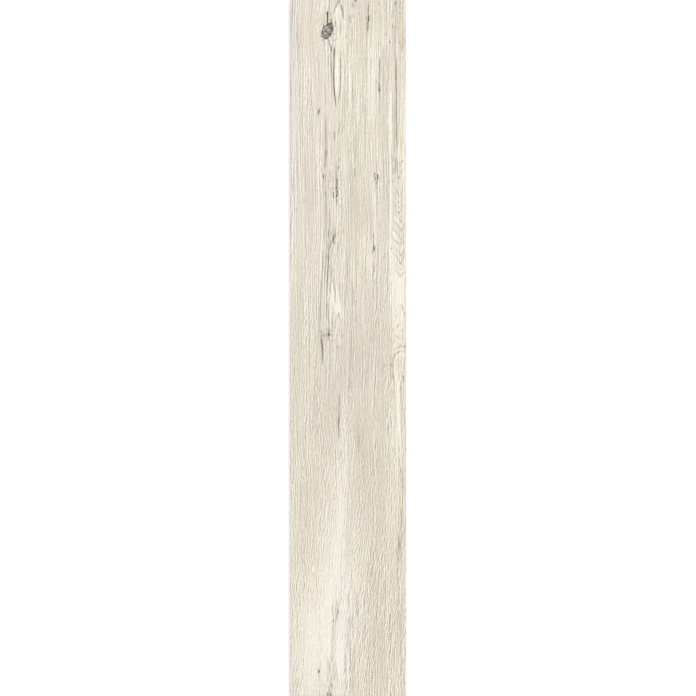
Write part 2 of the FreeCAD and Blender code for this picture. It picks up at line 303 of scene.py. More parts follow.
FOOT = (
    (1.8, 24, 350.8, 588, 607), (1.7, -36, 348.4, 590, 608), (2.2, -32, 356.8, 590, 357.2, 618),
    (1.6, -18, 314.4, 600, 314.6, 616), (2.7, -32, 337.2, 601.4, 337.4, 605),
    (1.9, -26, 332.5, 603, 613), (2.1, -26, 337.5, 604, 611), (1.7, -16, 332.6, 606.6, 609.6),
    (1.8, 20, 339.5, 607, 610), (1.9, -28, 337.7, 607.4, 609.4), (2.7, -62, 337.6, 610, 338, 614),
    (1.9, -20, 332.6, 612, 333.3, 617), (1.8, -26, 352.4, 612, 628),
    (2.3, -38, 337, 613.4, 336.3, 616.6), (1.6, -28, 349.6, 615, 349.8, 634),
    (1.8, -24, 325.4, 616, 325.6, 620), (3, -22, 337, 616, 621), (2.1, -52, 333.4, 618.8, 622.6),
    (3, -22, 333.2, 622, 332.8, 642), (2.2, 22, 338.2, 622, 338.4, 650, 338.6, 684),
    (1.6, -20, 347.4, 630, 347.6, 650), (1.8, 24, 352.2, 634, 352.3, 654),
    (1.6, -30, 331.9, 636, 331.8, 665), (1.7, -26, 350.2, 636, 350, 662),
    (1.6, -20, 321.4, 638, 322.8, 653), (1.8, 20, 341.6, 638, 341.8, 668),
    (1.6, 18, 329.6, 640, 327.8, 664), (2.1, -22, 354.2, 645, 354.4, 676),
    (1.8, 24, 348, 648, 348.1, 678), (2.2, -28, 345.5, 652, 345.3, 673),
    (1.8, -24, 328, 656, 327.8, 684), (2, -22, 330, 658, 329.8, 677),
    (1.7, -24, 351.4, 658, 351.2, 675), (1.7, -26, 331.5, 658.6, 661.6),
    (1.6, -28, 333.4, 660, 334, 672, 336, 683), (1.7, -20, 320.4, 661, 320.2, 668.6),
    (1.5, -28, 336, 662, 337.8, 685), (2.4, -16, 330, 663, 671), (2, -40, 318.6, 667.4, 669.4),
    (1.8, -26, 346.4, 668, 344.2, 673.4), (2.2, -108, 318.9, 669.4, 318.6, 673.2),
    (1.6, -30, 319.8, 669.8, 671.6), (2, -20, 319.4, 673, 319.5, 681),
    (1.6, -28, 331.6, 674, 331.5, 691), (1.7, -28, 332.5, 674.4, 332.6, 676.4),
    (2, -15, 327.8, 675, 328.3, 686), (1.8, -26, 345.8, 678, 346.2, 691),
    (1.8, -26, 352.6, 678, 352.4, 694), (1.8, 16, 326.6, 682.6, 686.4),
    (1.8, -24, 324.4, 683.4, 325.6, 688.6), (1.9, -36, 331.5, 683.4, 686.6),
    (1.9, -36, 328.4, 685.6, 328.6, 688.4), (2.2, -32, 329.4, 688.6, 329.3, 692.4),
    (2.4, -50, 327.8, 691.8, 327.3, 697), (1.8, -46, 330.2, 691.8, 330.8, 693.4),
    (1.6, -30, 332.6, 693.4, 333.4, 697), (1.7, -64, 329.4, 694.2, 330.7, 694.8, 331.2, 697),
)
RIGHT_BOARD = (
    (2.4, 30, 397.7, 145, 397.8, 162), (1.8, -24, 393.2, 155, 392.8, 164),
    (3.6, -34, 395.2, 156, 396, 162, 395.4, 168, 394.8, 175), (2.2, -52, 402.4, 161, 402.6, 163),
    (1.8, -34, 399.6, 162.8, 401, 163.8), (1.9, -42, 400.4, 165.2, 400.6, 167.2),
    (2, 36, 403.4, 165.4, 403.5, 167.4), (2, -32, 393.4, 167, 392.8, 175),
    (1.8, -34, 401.6, 169.4, 402, 171.2), (1.8, -40, 401.2, 172, 402.2, 173.6),
    (2, 30, 402.6, 172.6, 402.5, 178), (2, -40, 395.2, 173, 395.8, 174.6),
    (1.9, -42, 399.6, 174.6, 398.6, 179.8), (1.9, -44, 394, 178.4, 396, 178.4),
    (1.9, -33, 391.4, 181.4, 395.6, 181.8), (1.7, -26, 388.4, 183.6, 389.6, 181.2, 391.2, 180),
    (1.8, -32, 391.6, 183.6, 394, 186, 396.2, 189, 397.2, 193.6, 399.2, 196.6, 401, 195.6, 402.2, 190,
     402.8, 184),
    (1.8, -22, 391.6, 191, 394.6, 194, 395.8, 199, 397, 202, 399.6, 202.4, 401.8, 199.4, 403.8, 193),
    (1.8, -35, 391.8, 199.6, 393.8, 202.4, 396, 205.8, 398.8, 206.9, 401.2, 206, 403.6, 201),
    (2, 27, 396.4, 199.8, 396.9, 203.8),
    (1.8, -29, 393.6, 204.6, 395.4, 209.2, 397.2, 212.4, 399.6, 212.8, 401.6, 209.6, 403.8, 205),
    (2.2, 22, 395.6, 208, 397.6, 210, 399.6, 209.6),
    (1.6, -20, 391.8, 209, 394, 213.6, 396.4, 217.4, 399.6, 218.2, 402, 214.6),
    (2.1, 26, 394.6, 215.4, 395.4, 219.4, 399.4, 223, 401.8, 226.4),
    (1.7, -30, 391.8, 218, 395, 222.2, 398.4, 226.4, 401.4, 231.4, 403.2, 227.4, 405.4, 221),
    (3, -32, 400.3, 220.2, 400.7, 223.4),
    (1.7, -26, 391.4, 226, 394.6, 230.4, 398.4, 235.2, 401.2, 240.6, 403, 236.4, 405.2, 230),
    (2, 31, 392.2, 231, 394.4, 235.6, 396.8, 240.8), (2.2, -29, 391, 233.2, 391.8, 234.8),
    (1.7, -33, 391.4, 236, 394.2, 239.8, 397, 242.6, 399.6, 243.5, 403.2, 243.4, 405, 239),
    (1.9, -29, 402, 243.4, 403.4, 243.4),
    (1.8, -35, 392.4, 243.8, 395.8, 248, 398.8, 252.2, 401, 256.4, 403.2, 251, 405.2, 245.6),
    (1.6, 26, 394.4, 245.2, 397.2, 248.6, 399.4, 251.6), (2.1, -37, 391.6, 247, 391.7, 250.4),
    (1.9, -37, 392.2, 251.4, 396, 256, 398.8, 260.4, 400.4, 264.4, 402.8, 258.4, 405.2, 252.6),
    (1.7, -23, 385, 252.4, 386.2, 254.6), (1.7, 29, 386.4, 255.4, 387.2, 258.6),
    (2, -32, 383.8, 256.6, 385.2, 259.2),
    (1.6, -22, 393, 259, 396.6, 265.6, 399, 270.4, 401.6, 268.6, 404.6, 262),
    (1.9, 27, 398.2, 260.4, 399, 263.8),
    (1.8, -36, 394.6, 267.4, 397, 272.4, 400, 276.4, 402.2, 274.4, 404.6, 270.6),
    (1.7, 26, 397.2, 274.6, 399, 277), (1.8, -38, 387.2, 287.6, 387.6, 290.6),
    (1.8, 35, 384.6, 288.2, 386.4, 288.6), (1.8, 29, 390.6, 292.4, 303.6),
    (2.6, -22, 385.4, 297, 385.6, 303.4), (1.6, -31, 398.4, 304, 398.6, 307),
    (1.8, -58, 400.8, 304.6, 402.2, 306.2, 403, 310.6), (1.6, -26, 396.8, 307.4, 396.4, 311.6),
    (1.6, -29, 398.2, 312.4, 398.6, 315.4), (2.2, -60, 404.7, 312.5, 404.9, 315.5),
    (1.7, -31, 396.4, 315.6, 319.6), (1.8, 26, 394.4, 316.4, 394.6, 320.6),
    (1.7, 26, 399.4, 326.2, 401.4, 325.6),
    (1.7, -43, 396.6, 328.6, 397.4, 325.8, 399.2, 324.6, 401.6, 324.4),
    (1.9, -48, 401.4, 329.6, 402.2, 331.4), (1.7, -31, 393, 331.6, 393.4, 329.6, 395.4, 328.4),
    (1.8, -46, 395.6, 335.8, 396.8, 337, 398.6, 338.8), (1.5, -24, 399.6, 336.4, 403.6, 336.2),
    (1.7, -31, 393.8, 338.6, 396.2, 341.4), (1.5, -24, 399.8, 338.6, 403.4, 338.4),
    (1.7, 31, 396.2, 338.8, 396.6, 341), (1.7, 26, 398.6, 340, 399.4, 342),
    (1.6, -31, 393, 343, 392.6, 341.8, 394.6, 343.8),
    (1.7, -50, 394.8, 349.6, 397.4, 347.6, 400.6, 346.6, 409, 346.3),
    (1.8, 24, 398.4, 349.6, 401, 348.8), (1.7, -44, 397.4, 353.4, 394.2, 357.6, 393, 364, 392.8, 380),
    (1.5, -29, 390.2, 355, 391.4, 358.6, 392.6, 361.6),
    (1.8, -56, 393.8, 357, 395.8, 353.6, 398.8, 351.7, 402.4, 351.3, 409, 351.4),
    (1.5, -24, 396.8, 359, 396.4, 366), (1.8, -60, 391.4, 363.6, 391.5, 366.4),
    (3.6, 22, 397, 364, 397.6, 384, 398.2, 412, 399.2, 446), (1.8, -41, 384.6, 364.4, 384.5, 366.4),
    (1.7, -34, 390.4, 369, 390.3, 379),
    (2.2, 34, 393.4, 372, 394.8, 359.6, 397.6, 355.2, 401.6, 353.4, 408, 353.2),
    (1.8, -41, 393.4, 374.6, 393.3, 379.8), (1.7, -50, 402, 375.6, 403.6, 377, 403.2, 382),
    (1.5, -32, 394.5, 378, 394.6, 404), (1.7, -32, 400.2, 380, 401.6, 396, 402.6, 420),
    (1.5, -24, 395.4, 400, 396.2, 430), (1.8, -38, 400.4, 467, 401.6, 475, 402.6, 484, 401.6, 492),
    (1.8, -41, 402.4, 505, 401, 512, 401.8, 520, 400.8, 530),
    (1.6, -32, 396.6, 530, 398.6, 540, 399.6, 549), (1.6, -30, 403, 530, 401, 540, 399.8, 549),
    (3, -22, 399, 541, 399.3, 552), (1.5, -34, 395.4, 548, 398, 557, 399, 563),
    (1.5, -34, 401.8, 549, 400.2, 557, 399, 563), (1.8, -17, 401, 614, 401, 650, 401.4, 684),
)
STREAKS = tuple(
    streak(*row)
    for part in (ROUND_LARGE_KNOT, HEAD, UPPER_KNOTS, MIDDLE, FOOT, RIGHT_BOARD)
    for row in part
)

# Zones from the head to the foot, with the fields of Zone in order.
ZONES = tuple(Zone(*row) for row in (
    (370, 4, 8, 7, 1, 0.7), (355, 5, 4.5, 4.5, -10), (303, 12, 12, 36, -5), (338.6, 12, 2.8, 8, 7),
    (316, 14, 5, 20, -3), (368, 16, 3, 16, -6), (334.8, 18, 3, 6, 9, -0.3, 0.4), (398, 18, 6, 24, -14),
    (322, 20, 3.5, 5, -8, -0.5), (359, 20, 5.5, 7, -2, 0, 0.8), (381, 20, 8, 20, -8),
    (355, 26, 6, 24, -4), (401.5, 26, 2.8, 10, -1, -0.3, 0.8), (380, 31, 5, 9, 3, -0.8),
    (338, 33, 3.5, 10, 7, 0, 0.3), (319.5, 37, 2.5, 7, 7, 0.6), (299.5, 38, 3.5, 14, -9, 0.6),
    (312, 42, 3, 24, -5, 0.3), (352, 43, 6, 9, -1, 0, 0.8), (402.4, 44, 2.2, 7, -6, 0.9, 0.8),
    (340, 50, 4, 44, 7), (375, 60, 3.5, 60, 8, -0.2), (402, 66, 3, 30, 3, 0.5, 0.5),
    (293, 80, 6, 80, 2, -0.2, -1), (384, 84, 6, 30, -4), (309, 88, 5, 42, 6, 0.1),
    (384, 95, 5, 60, -5, 0.2), (300, 108, 5, 44, -2, -0.5), (354, 120, 12, 120, -1, -0.2, 0.15),
    (396.5, 120, 3, 60, -7), (401.5, 135, 4, 30, 9, -1), (386, 138, 7, 28, -6, -0.4),
    (355, 140, 8, 30, -4), (369, 142, 6, 26, 4), (401.8, 150, 2.5, 14, 5, -0.2, 0.6),
    (305, 166, 6, 16, 0, 0.4), (298, 168, 3, 22, -5, 0.2), (399.4, 171, 2.6, 5, 0, 1),
    (377, 176, 3, 14, -5), (336.5, 180, 3, 28, -8), (352, 196, 7, 28, -3), (313, 200, 5, 26, -9),
    (326.5, 200, 3.5, 80, -8), (385, 200, 8, 30, -5), (400, 200, 5, 24, 8, -0.4), (345, 202, 5, 26, -4),
    (361, 212, 8, 22, -7, 0.1), (400, 222, 4, 8, 3, 0.8), (384, 236, 5, 40, -3),
    (332.5, 238, 5, 18, -9), (366, 250, 5, 24, 5), (312, 255, 6, 30, -4), (314.5, 262, 4, 44, 4, 0.1),
    (355, 262, 6, 24, -5), (371, 262, 3, 18, 6), (371, 262, 5, 26, 5), (400.5, 262, 3, 12, 0, 1),
    (327, 278, 5, 40, 5), (398, 288, 7, 48, 25, -0.2), (370, 300, 8, 24, -4), (338, 304, 6, 26, 8),
    (326, 314, 7, 22, 8), (300, 325, 8, 40, -5, -0.2), (364, 330, 20, 50, -6), (326, 334, 8, 13, -13),
    (399, 338, 6, 22, 8, 0.3, 0.3), (370, 356, 20, 30, -3), (383, 364, 5, 9, 2, 0.6),
    (341, 376, 7, 26, -5), (296, 378, 8, 26, -3, 0, 0.7), (396, 382, 8, 24, 3, 0.1, 0.5),
    (335, 395, 50, 80, -7), (383, 410, 6, 40, -5), (316.5, 429, 6, 12, 0, 0.35), (341, 430, 5, 26, 5),
    (357, 430, 5, 16, -6), (396.5, 436, 3.5, 56, 12, -0.2), (345, 450, 4, 52, 7, 0.1),
    (368, 470, 16, 60, -6, -0.1), (372, 470, 20, 50, -4), (338, 480, 7, 28, 9),
    (312, 490, 16, 26, -4, 0.1, 0.5), (384, 490, 8, 40, -2, 0.1, 0.2), (401, 494, 5, 28, -2, 0, 0.5),
    (396, 500, 2.6, 34, 7, 0.2), (401.5, 505, 3, 30, -2, 0.6), (327, 520, 7, 48, 8),
    (340.8, 522, 4.2, 34, 19, 0.2), (295, 536, 3.5, 52, 2, -0.6, 0.4), (303, 540, 6, 40, -3, 0.3, 0.5),
    (383, 545, 6, 30, -5), (400, 545, 4, 22, -8, 0.4), (336.5, 560, 5, 30, 17, 0.1),
    (356, 572, 7, 44, 6), (341, 590, 8, 90, 2, 0, -0.6), (345, 590, 6, 34, 12), (330, 598, 8, 32, 15),
    (323, 600, 8, 60, 10, 0.1), (365, 610, 80, 110, 0, 0, 0.2), (398, 610, 5, 34, -9, -0.1, 0.3),
    (355, 612, 6, 28, 4), (335, 616, 3.5, 16, -10), (376, 636, 11, 84, -9, 0.35),
    (401.5, 640, 2.5, 50, 3, 0.6), (311, 648, 9, 64, 24, 0.1), (297, 650, 6, 50, 6),
    (340, 658, 7, 50, 22), (326, 660, 7, 44, 18), (319.5, 676, 2.5, 14, -5), (330, 692, 4, 12, -9),
))

# The narrow board on the right, how far its grain is shifted so that it differs, and half the width
# over which one board's grain passes into the other's.
BOARD_JOINT_COL = 393.5
BOARD_STEP = 370.0 * MM
BOARD_BLUR = 0.4 * MM

# The share of a streak's length that thins out at each end, and how strong it stays there.
TIP_LENGTH, TIP_STRENGTH = 0.22, 0.15

# The slow wander of the grain is a sum of sines along the plank: swing, wavelength over 2 pi, phase.
WANDERS = ((1.2 * MM, 0.083, 0.0), (0.8 * MM, 0.037, 1.0))

# Towards the foot the grain leans to the left: how far, between which distances from the head, and
# between which x the lean grows from nothing to all of it.
FOOT_LEAN = 16.0 * MM
FOOT_LEAN_DOWN = (0.78, 1.2)
FOOT_LEAN_X = (-0.1, 0.0)

# How far a knot pushes the grain aside, in its own half heights along it and half widths across it.
KNOT_REACH, KNOT_FADE = 2.4, 4.0

# The grain gets shorter between these distances from the head.
SHORTENING = (0.30, 0.80)

# The knot radius where no knot is near.
FAR_FROM_KNOTS = 9.0


# How the grain runs and what lies on it


def place(col, row):
    """A column and row of the photo as x and y on the plank, in metres."""
    across = (col - FACE_LEFT) / (FACE_RIGHT - FACE_LEFT)
    down = (row - FACE_HEAD) / (FACE_FOOT - FACE_HEAD)
    return LOW.x + across * (HIGH.x - LOW.x), HIGH.y - down * (HIGH.y - LOW.y)


def ease(start, end, value):
    """0 before start and 1 after end, with 3 t^2 - 2 t^3 between them."""
    t = np.clip((value - start) / (end - start), 0.0, 1.0)
    return t * t * (3.0 - 2.0 * t)


def lattice_noise(rng, a, b):
    """Smooth noise from -1 to 1: random values at whole a and b, blended between by 3 t^2 - 2 t^3."""
    column, line = np.floor(a).astype(int), np.floor(b).astype(int)
    column -= column.min()
    line -= line.min()
    values = rng.uniform(-1.0, 1.0, (column.max() + 2, line.max() + 2))
    s, t = ease(0.0, 1.0, a - np.floor(a)), ease(0.0, 1.0, b - np.floor(b))
    near = values[column, line] * (1.0 - t) + values[column, line + 1] * t
    far = values[column + 1, line] * (1.0 - t) + values[column + 1, line + 1] * t
    return near * (1.0 - s) + far * s


def path_distance(x, y, path):
    """The distance to a path of straight runs, and how far along it the nearest point is, 0 to 1.

    The nearest point of a run from p to q is p + t (q - p), with t the clipped projection.
    """
    points = np.array([place(col, row) for col, row in path])
    runs = np.diff(points, axis=0)
    lengths = np.hypot(*runs.T)
    starts = np.concatenate(([0.0], np.cumsum(lengths)))
    nearest, along = np.full(x.shape, np.inf), np.zeros(x.shape)
    for point, run, length, start in zip(points, runs, lengths, starts):
        t = np.clip(((x - point[0]) * run[0] + (y - point[1]) * run[1]) / length**2, 0.0, 1.0)
        distance = np.hypot(x - point[0] - t * run[0], y - point[1] - t * run[1])
        closer = distance < nearest
        nearest = np.where(closer, distance, nearest)
        along = np.where(closer, (start + t * length) / starts[-1], along)
    return nearest, along


def streak_strength(x, y, line):
    """exp(-(d / half width)^2) across the streak, thinned towards both ends."""
    distance, along = path_distance(x, y, line.path)
    taper = ease(0.0, TIP_LENGTH, along) * ease(0.0, TIP_LENGTH, 1.0 - along)
    half_width = line.width * MM / 2.0
    tips = TIP_STRENGTH + (1.0 - TIP_STRENGTH) * taper
    return np.exp(-((distance / half_width) ** 2)) * tips


def knot_radius(x, y, knot):
    """1 on the knot's rim: the length of the leaned offset over the knot's half sizes.

    The offset is from a centre that moves from the heart to the knot's middle towards the rim.
    """
    centre_x, centre_y = place(knot.col, knot.row)
    dx, dy = (x - centre_x) / PIXEL, (y - centre_y) / PIXEL
    plain = np.hypot((dx - knot.lean * dy) / knot.half_cols, dy / knot.half_rows)
    inner = np.clip(1.0 - plain, 0.0, 1.0)
    dx, dy = dx - knot.shift[0] * inner, dy - knot.shift[1] * inner
    return np.hypot((dx - knot.lean * dy) / knot.half_cols, dy / knot.half_rows)


def grain_across(x, y):
    """The coordinate across the grain, so that grain lines are where it is constant.

    It is x plus the wanders and the lean of the foot, less what each knot of half width r pushes the
    lines aside: r exp(-(dy / reach)^2) (1 - exp(-|dx| / r)) exp(-|dx| / (fade r)), away from it.
    """
    down = HIGH.y - y
    across = x + FOOT_LEAN * ease(*FOOT_LEAN_DOWN, down) * ease(*FOOT_LEAN_X, x)
    for swing, length, phase in WANDERS:
        across += swing * np.sin(down / length + phase)
    for knot in KNOTS:
        centre_x, centre_y = place(knot.col, knot.row)
        radius = knot.half_cols * PIXEL
        reach = KNOT_REACH * knot.half_rows * PIXEL
        dx = x - centre_x
        push = radius * np.exp(-(((y - centre_y) / reach) ** 2))
        push *= (1.0 - np.exp(-np.abs(dx) / radius)) * np.exp(-np.abs(dx) / (KNOT_FADE * radius))
        across -= np.sign(dx) * push
    return across


class Figure(NamedTuple):
    """What the print holds at each point of the face, as arrays of one shape."""

    across: np.ndarray
    along: np.ndarray
    shortness: np.ndarray
    tone: np.ndarray
    mark: np.ndarray
    knot_radius: np.ndarray
    tint: np.ndarray
    warmth: np.ndarray
    knot_depth: np.ndarray


def draw_figure(x, y):
    """Lays the zones, streaks and knots over the grain.

    Tone and mark are shifts in grey levels: light streaks add to the tone and dark ones to the mark.
    Shortness is 0 where the grain is long and 1 where it is short.
    """
    joint_x = place(BOARD_JOINT_COL, 0)[0]
    board = ease(-BOARD_BLUR, BOARD_BLUR, x - joint_x)
    tone, mark = np.zeros(x.shape), np.zeros(x.shape)
    tint, warmth = np.zeros(x.shape), np.zeros(x.shape)
    for zone in ZONES:
        centre_x, centre_y = place(zone.col, zone.row)
        offset = np.hypot(
            (x - centre_x) / (zone.half_cols * PIXEL), (y - centre_y) / (zone.half_rows * PIXEL)
        )
        strength = np.exp(-(offset**2))
        tone += zone.tone * strength
        tint += zone.tint * strength
        warmth += zone.warmth * strength
    for line in STREAKS:
        strength = streak_strength(x, y, line)
        tone += max(line.tone, 0.0) * strength
        mark += max(-line.tone, 0.0) * strength
    radius, depth = np.full(x.shape, FAR_FROM_KNOTS), np.zeros(x.shape)
    for knot in KNOTS:
        here = knot_radius(x, y, knot)
        depth = np.where(here < radius, knot.depth, depth)
        radius = np.minimum(radius, here)
    return Figure(
        across=grain_across(x, y) + BOARD_STEP * board,
        along=y,
        shortness=ease(*SHORTENING, HIGH.y - y),
        tone=tone,
        mark=mark,
        knot_radius=radius,
        tint=tint,
        warmth=warmth,
        knot_depth=depth,
    )


# Wood relief pressed into the face: the grooves' size across and along in millimetres and their
# share of the grooves' swing, the width of the sunk rim of a knot in its radii, the mark in grey
# levels that is sunk all the way, and the grooves' share of the whole depth.
GROOVES = (((4.5, 110.0), 0.3), ((2.2, 28.0), 0.2))
SUNK_RIM = 0.22
SUNK_MARK = 90.0
GROOVE_SHARE = 0.6


def carve(figure, depth):
    """How deep the wood relief lies under the face's high points, from 0 to depth, in metres.

    Long and short grooves of lattice noise along the grain take the groove share, and the dark
    streaks and the knot's rim are sunk by the rest.
    """
    rng = np.random.default_rng(SEED)
    grooves = 0.5
    for (across, along), share in GROOVES:
        grooves += share * lattice_noise(rng, figure.across / MM / across, figure.along / MM / along)
    rim = np.exp(-(((figure.knot_radius - 1.0) / SUNK_RIM) ** 2))
    sunk = np.clip(figure.mark / SUNK_MARK + rim, 0.0, 1.0)
    return depth * np.clip(GROOVE_SHARE * grooves + (1.0 - GROOVE_SHARE) * sunk, 0.0, 1.0)


# The plank's mesh


# Columns and rows of the photo where the mesh is finer for the dark marks: middle, reach and gain.
CROWDED_COLS = ((329.0, 11.0, 1.2), (376.0, 6.0, 0.7), (398.0, 7.0, 0.5))
CROWDED_ROWS = (
    (22.0, 26.0, 0.9), (88.0, 12.0, 0.3), (182.0, 20.0, 1.0), (240.0, 14.0, 0.8),
    (336.0, 14.0, 1.0), (611.0, 12.0, 0.6), (671.0, 7.0, 0.8), (694.0, 10.0, 1.2),
)

# How many steps the density of the grid lines is summed in.
DENSITY_STEPS = 4000

# Places on the solid that lie closer together than this count as one.
SLACK = 0.01 * MM

# The map that colours are baked on, in shares of its side: the gap round each part, and each part's
# width from left to right.
MAP_GAP = 0.006
MAP_WIDTHS = {"foot half": 0.39, "head half": 0.39, "back": 0.132, "bevel": 0.026, "sides": 0.026}


def crowded_lines(start, end, cells, crowds):
    """Grid lines from start to end that stand closer in the crowds: centre, reach and gain of each.

    Their density is 1 + sum of gain exp(-((p - centre) / reach)^2), and each cell holds the same share.
    """
    fine = np.linspace(start, end, DENSITY_STEPS)
    density = np.ones(fine.shape)
    for centre, reach, gain in crowds:
        density += gain * np.exp(-(((fine - centre) / reach) ** 2))
    share = np.concatenate(([0.0], np.cumsum((density[1:] + density[:-1]) / 2.0)))
    return np.interp(np.linspace(0.0, share[-1], cells + 1), share, fine)


def grid_faces(index):
    """The four-sided faces of a grid of vertex numbers, seen anticlockwise from above."""
    return np.stack((index[:-1, :-1], index[1:, :-1], index[1:, 1:], index[:-1, 1:]), -1).reshape(-1, 4)


def rim_of(index):
    """The vertex numbers round a grid, anticlockwise from its lowest corner, and where its corners are."""
    rim = np.concatenate((index[:-1, 0], index[-1, :-1], index[:0:-1, -1], index[0, :0:-1]))
    across, along = index.shape[0] - 1, index.shape[1] - 1
    return rim, (0, across, across + along, 2 * across + along, 2 * (across + along))


def band_faces(upper, lower):
    """Faces between two rims with as many vertices, facing outwards when upper lies above lower."""
    return np.stack((lower, np.roll(lower, -1), np.roll(upper, -1), upper), -1)


def back_faces(index, height):
    """Triangles of the keyed back, facing down.

    A cell's corner folds along the diagonal that holds its highest vertex, so each of its two walls
    stays flat.
    """
    a, b, c, d = (index[:-1, :-1], index[1:, :-1], index[1:, 1:], index[:-1, 1:])
    fold_ac = (height[a] + height[c] >= height[b] + height[d])[..., None]
    first = np.where(fold_ac, np.stack((a, c, b), -1), np.stack((a, d, b), -1))
    second = np.where(fold_ac, np.stack((a, d, c), -1), np.stack((b, d, c), -1))
    return np.concatenate((first.reshape(-1, 3), second.reshape(-1, 3)))


def land_faces(outer, outer_corners, inner, inner_corners):
    """One flat face on each side of the keyed back, between the plank's lower edge and the cells."""
    faces = []
    for side in range(4):
        edge = np.take(outer, range(outer_corners[side], outer_corners[side + 1] + 1), mode="wrap")
        cells = np.take(inner, range(inner_corners[side], inner_corners[side + 1] + 1), mode="wrap")
        faces.append([*edge[::-1].tolist(), *cells.tolist()])
    return faces


def cad_vertices():
    """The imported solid's vertices, as rows of x, y and z."""
    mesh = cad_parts[NODE].data
    flat = np.empty(len(mesh.vertices) * 3, np.float32)
    mesh.vertices.foreach_get("co", flat)
    return flat.reshape(-1, 3).astype(float)


def distinct(values):
    """The sorted values that differ by more than the slack."""
    values = np.sort(values)
    return values[np.concatenate(([True], np.diff(values) > SLACK))]


def lay_out_map(mesh, points, printed, rim, split):
    """Gives each part of the plank its own upright strip of the map that colours are baked on.

    The halves of the face, below and above the split, and the back lie flat, as seen straight on. The
    bevel and the sides are unrolled. Printed and rim are how many four-sided faces they have.
    """
    vertices = np.empty(len(mesh.loops), np.int32)
    mesh.loops.foreach_get("vertex_index", vertices)
    x = (points[vertices, 0] - LOW.x) / (HIGH.x - LOW.x)
    y = (points[vertices, 1] - LOW.y) / (HIGH.y - LOW.y)
    is_head = np.repeat(y[:4 * printed].reshape(-1, 4).mean(1) > split, 4)
    step = np.arange(rim)
    unrolled_up = np.stack((step, step + 1, step + 1, step), -1).ravel() / rim
    unrolled_across = np.tile((1.0, 1.0, 0.0, 0.0), rim)

    ends = np.cumsum((4 * printed, 4 * rim, 4 * rim))
    face_y, _, _, back_y = np.split(y, ends)
    face_x, _, _, back_x = np.split(x, ends)
    up = np.concatenate((
        (face_y - split * is_head) / max(split, 1.0 - split), unrolled_up, unrolled_up, back_y
    ))
    across = np.concatenate((face_x, unrolled_across, unrolled_across, 1.0 - back_x))
    names = list(MAP_WIDTHS)
    part = np.concatenate((
        is_head.astype(int),
        np.full(4 * rim, names.index("bevel")),
        np.full(4 * rim, names.index("sides")),
        np.full(len(back_y), names.index("back")),
    ))
    widths = np.array(list(MAP_WIDTHS.values()))
    lefts = np.cumsum(widths + MAP_GAP) - widths
    u = lefts[part] + widths[part] * across
    v = MAP_GAP + (1.0 - 2.0 * MAP_GAP) * up
    mesh.uv_layers.new(name="OFBake").data.foreach_set("uv", np.stack((u, v), -1).ravel())


def measure_solid():
    """The bevel's width, and x, y and z of the keyed back on the lines of the solid's own cells."""
    solid = cad_vertices()
    bevel = HIGH.x - solid[solid[:, 2] > HIGH.z - SLACK, 0].max()
    inside = (solid[:, 2] < HIGH.z / 2.0) & (np.abs(solid[:, 0]) < HIGH.x - SLACK)
    inside &= np.abs(solid[:, 1]) < HIGH.y - SLACK
    floors = inside & (solid[:, 2] > LOW.z + SLACK)
    xs, ys = distinct(solid[inside, 0]), distinct(solid[inside, 1])
    floor_x = np.isin(xs, distinct(solid[floors, 0]))
    floor_y = np.isin(ys, distinct(solid[floors, 1]))
    x, y = np.meshgrid(xs, ys, indexing="ij")
    z = np.where(np.outer(floor_x, floor_y), solid[floors, 2].max(), LOW.z)
    return bevel, np.stack((x, y, z), -1)


def face_lines(sizes, bevel):
    """Where the grid lines of the face lie inside the bevel, across and along."""
    across = [(place(col, 0)[0], reach * PIXEL, gain) for col, reach, gain in CROWDED_COLS]
    along = [(place(0, row)[1], reach * PIXEL, gain) for row, reach, gain in CROWDED_ROWS]
    xs = crowded_lines(LOW.x + bevel, HIGH.x - bevel, sizes.cells_across, across)
    ys = crowded_lines(LOW.y + bevel, HIGH.y - bevel, sizes.cells_along, along)
    return xs, ys


def side_edges(rim_points, corners, bevel):
    """The upper and lower edge of the plank's sides: the face's rim moved out to the sides' planes."""
    square = np.sign(rim_points) * [HIGH.x, HIGH.y, 0.0]
    at_side = np.zeros(rim_points.shape, bool)
    for side in range(4):
        at_side[corners[side]:corners[side + 1] + 1, 1 - side % 2] = True
    at_side[0, :2] = True
    upper_edge = np.where(at_side, square, rim_points)
    lower_edge = upper_edge.copy()
    upper_edge[:, 2] = HIGH.z - bevel
    lower_edge[:, 2] = LOW.z
    return upper_edge, lower_edge


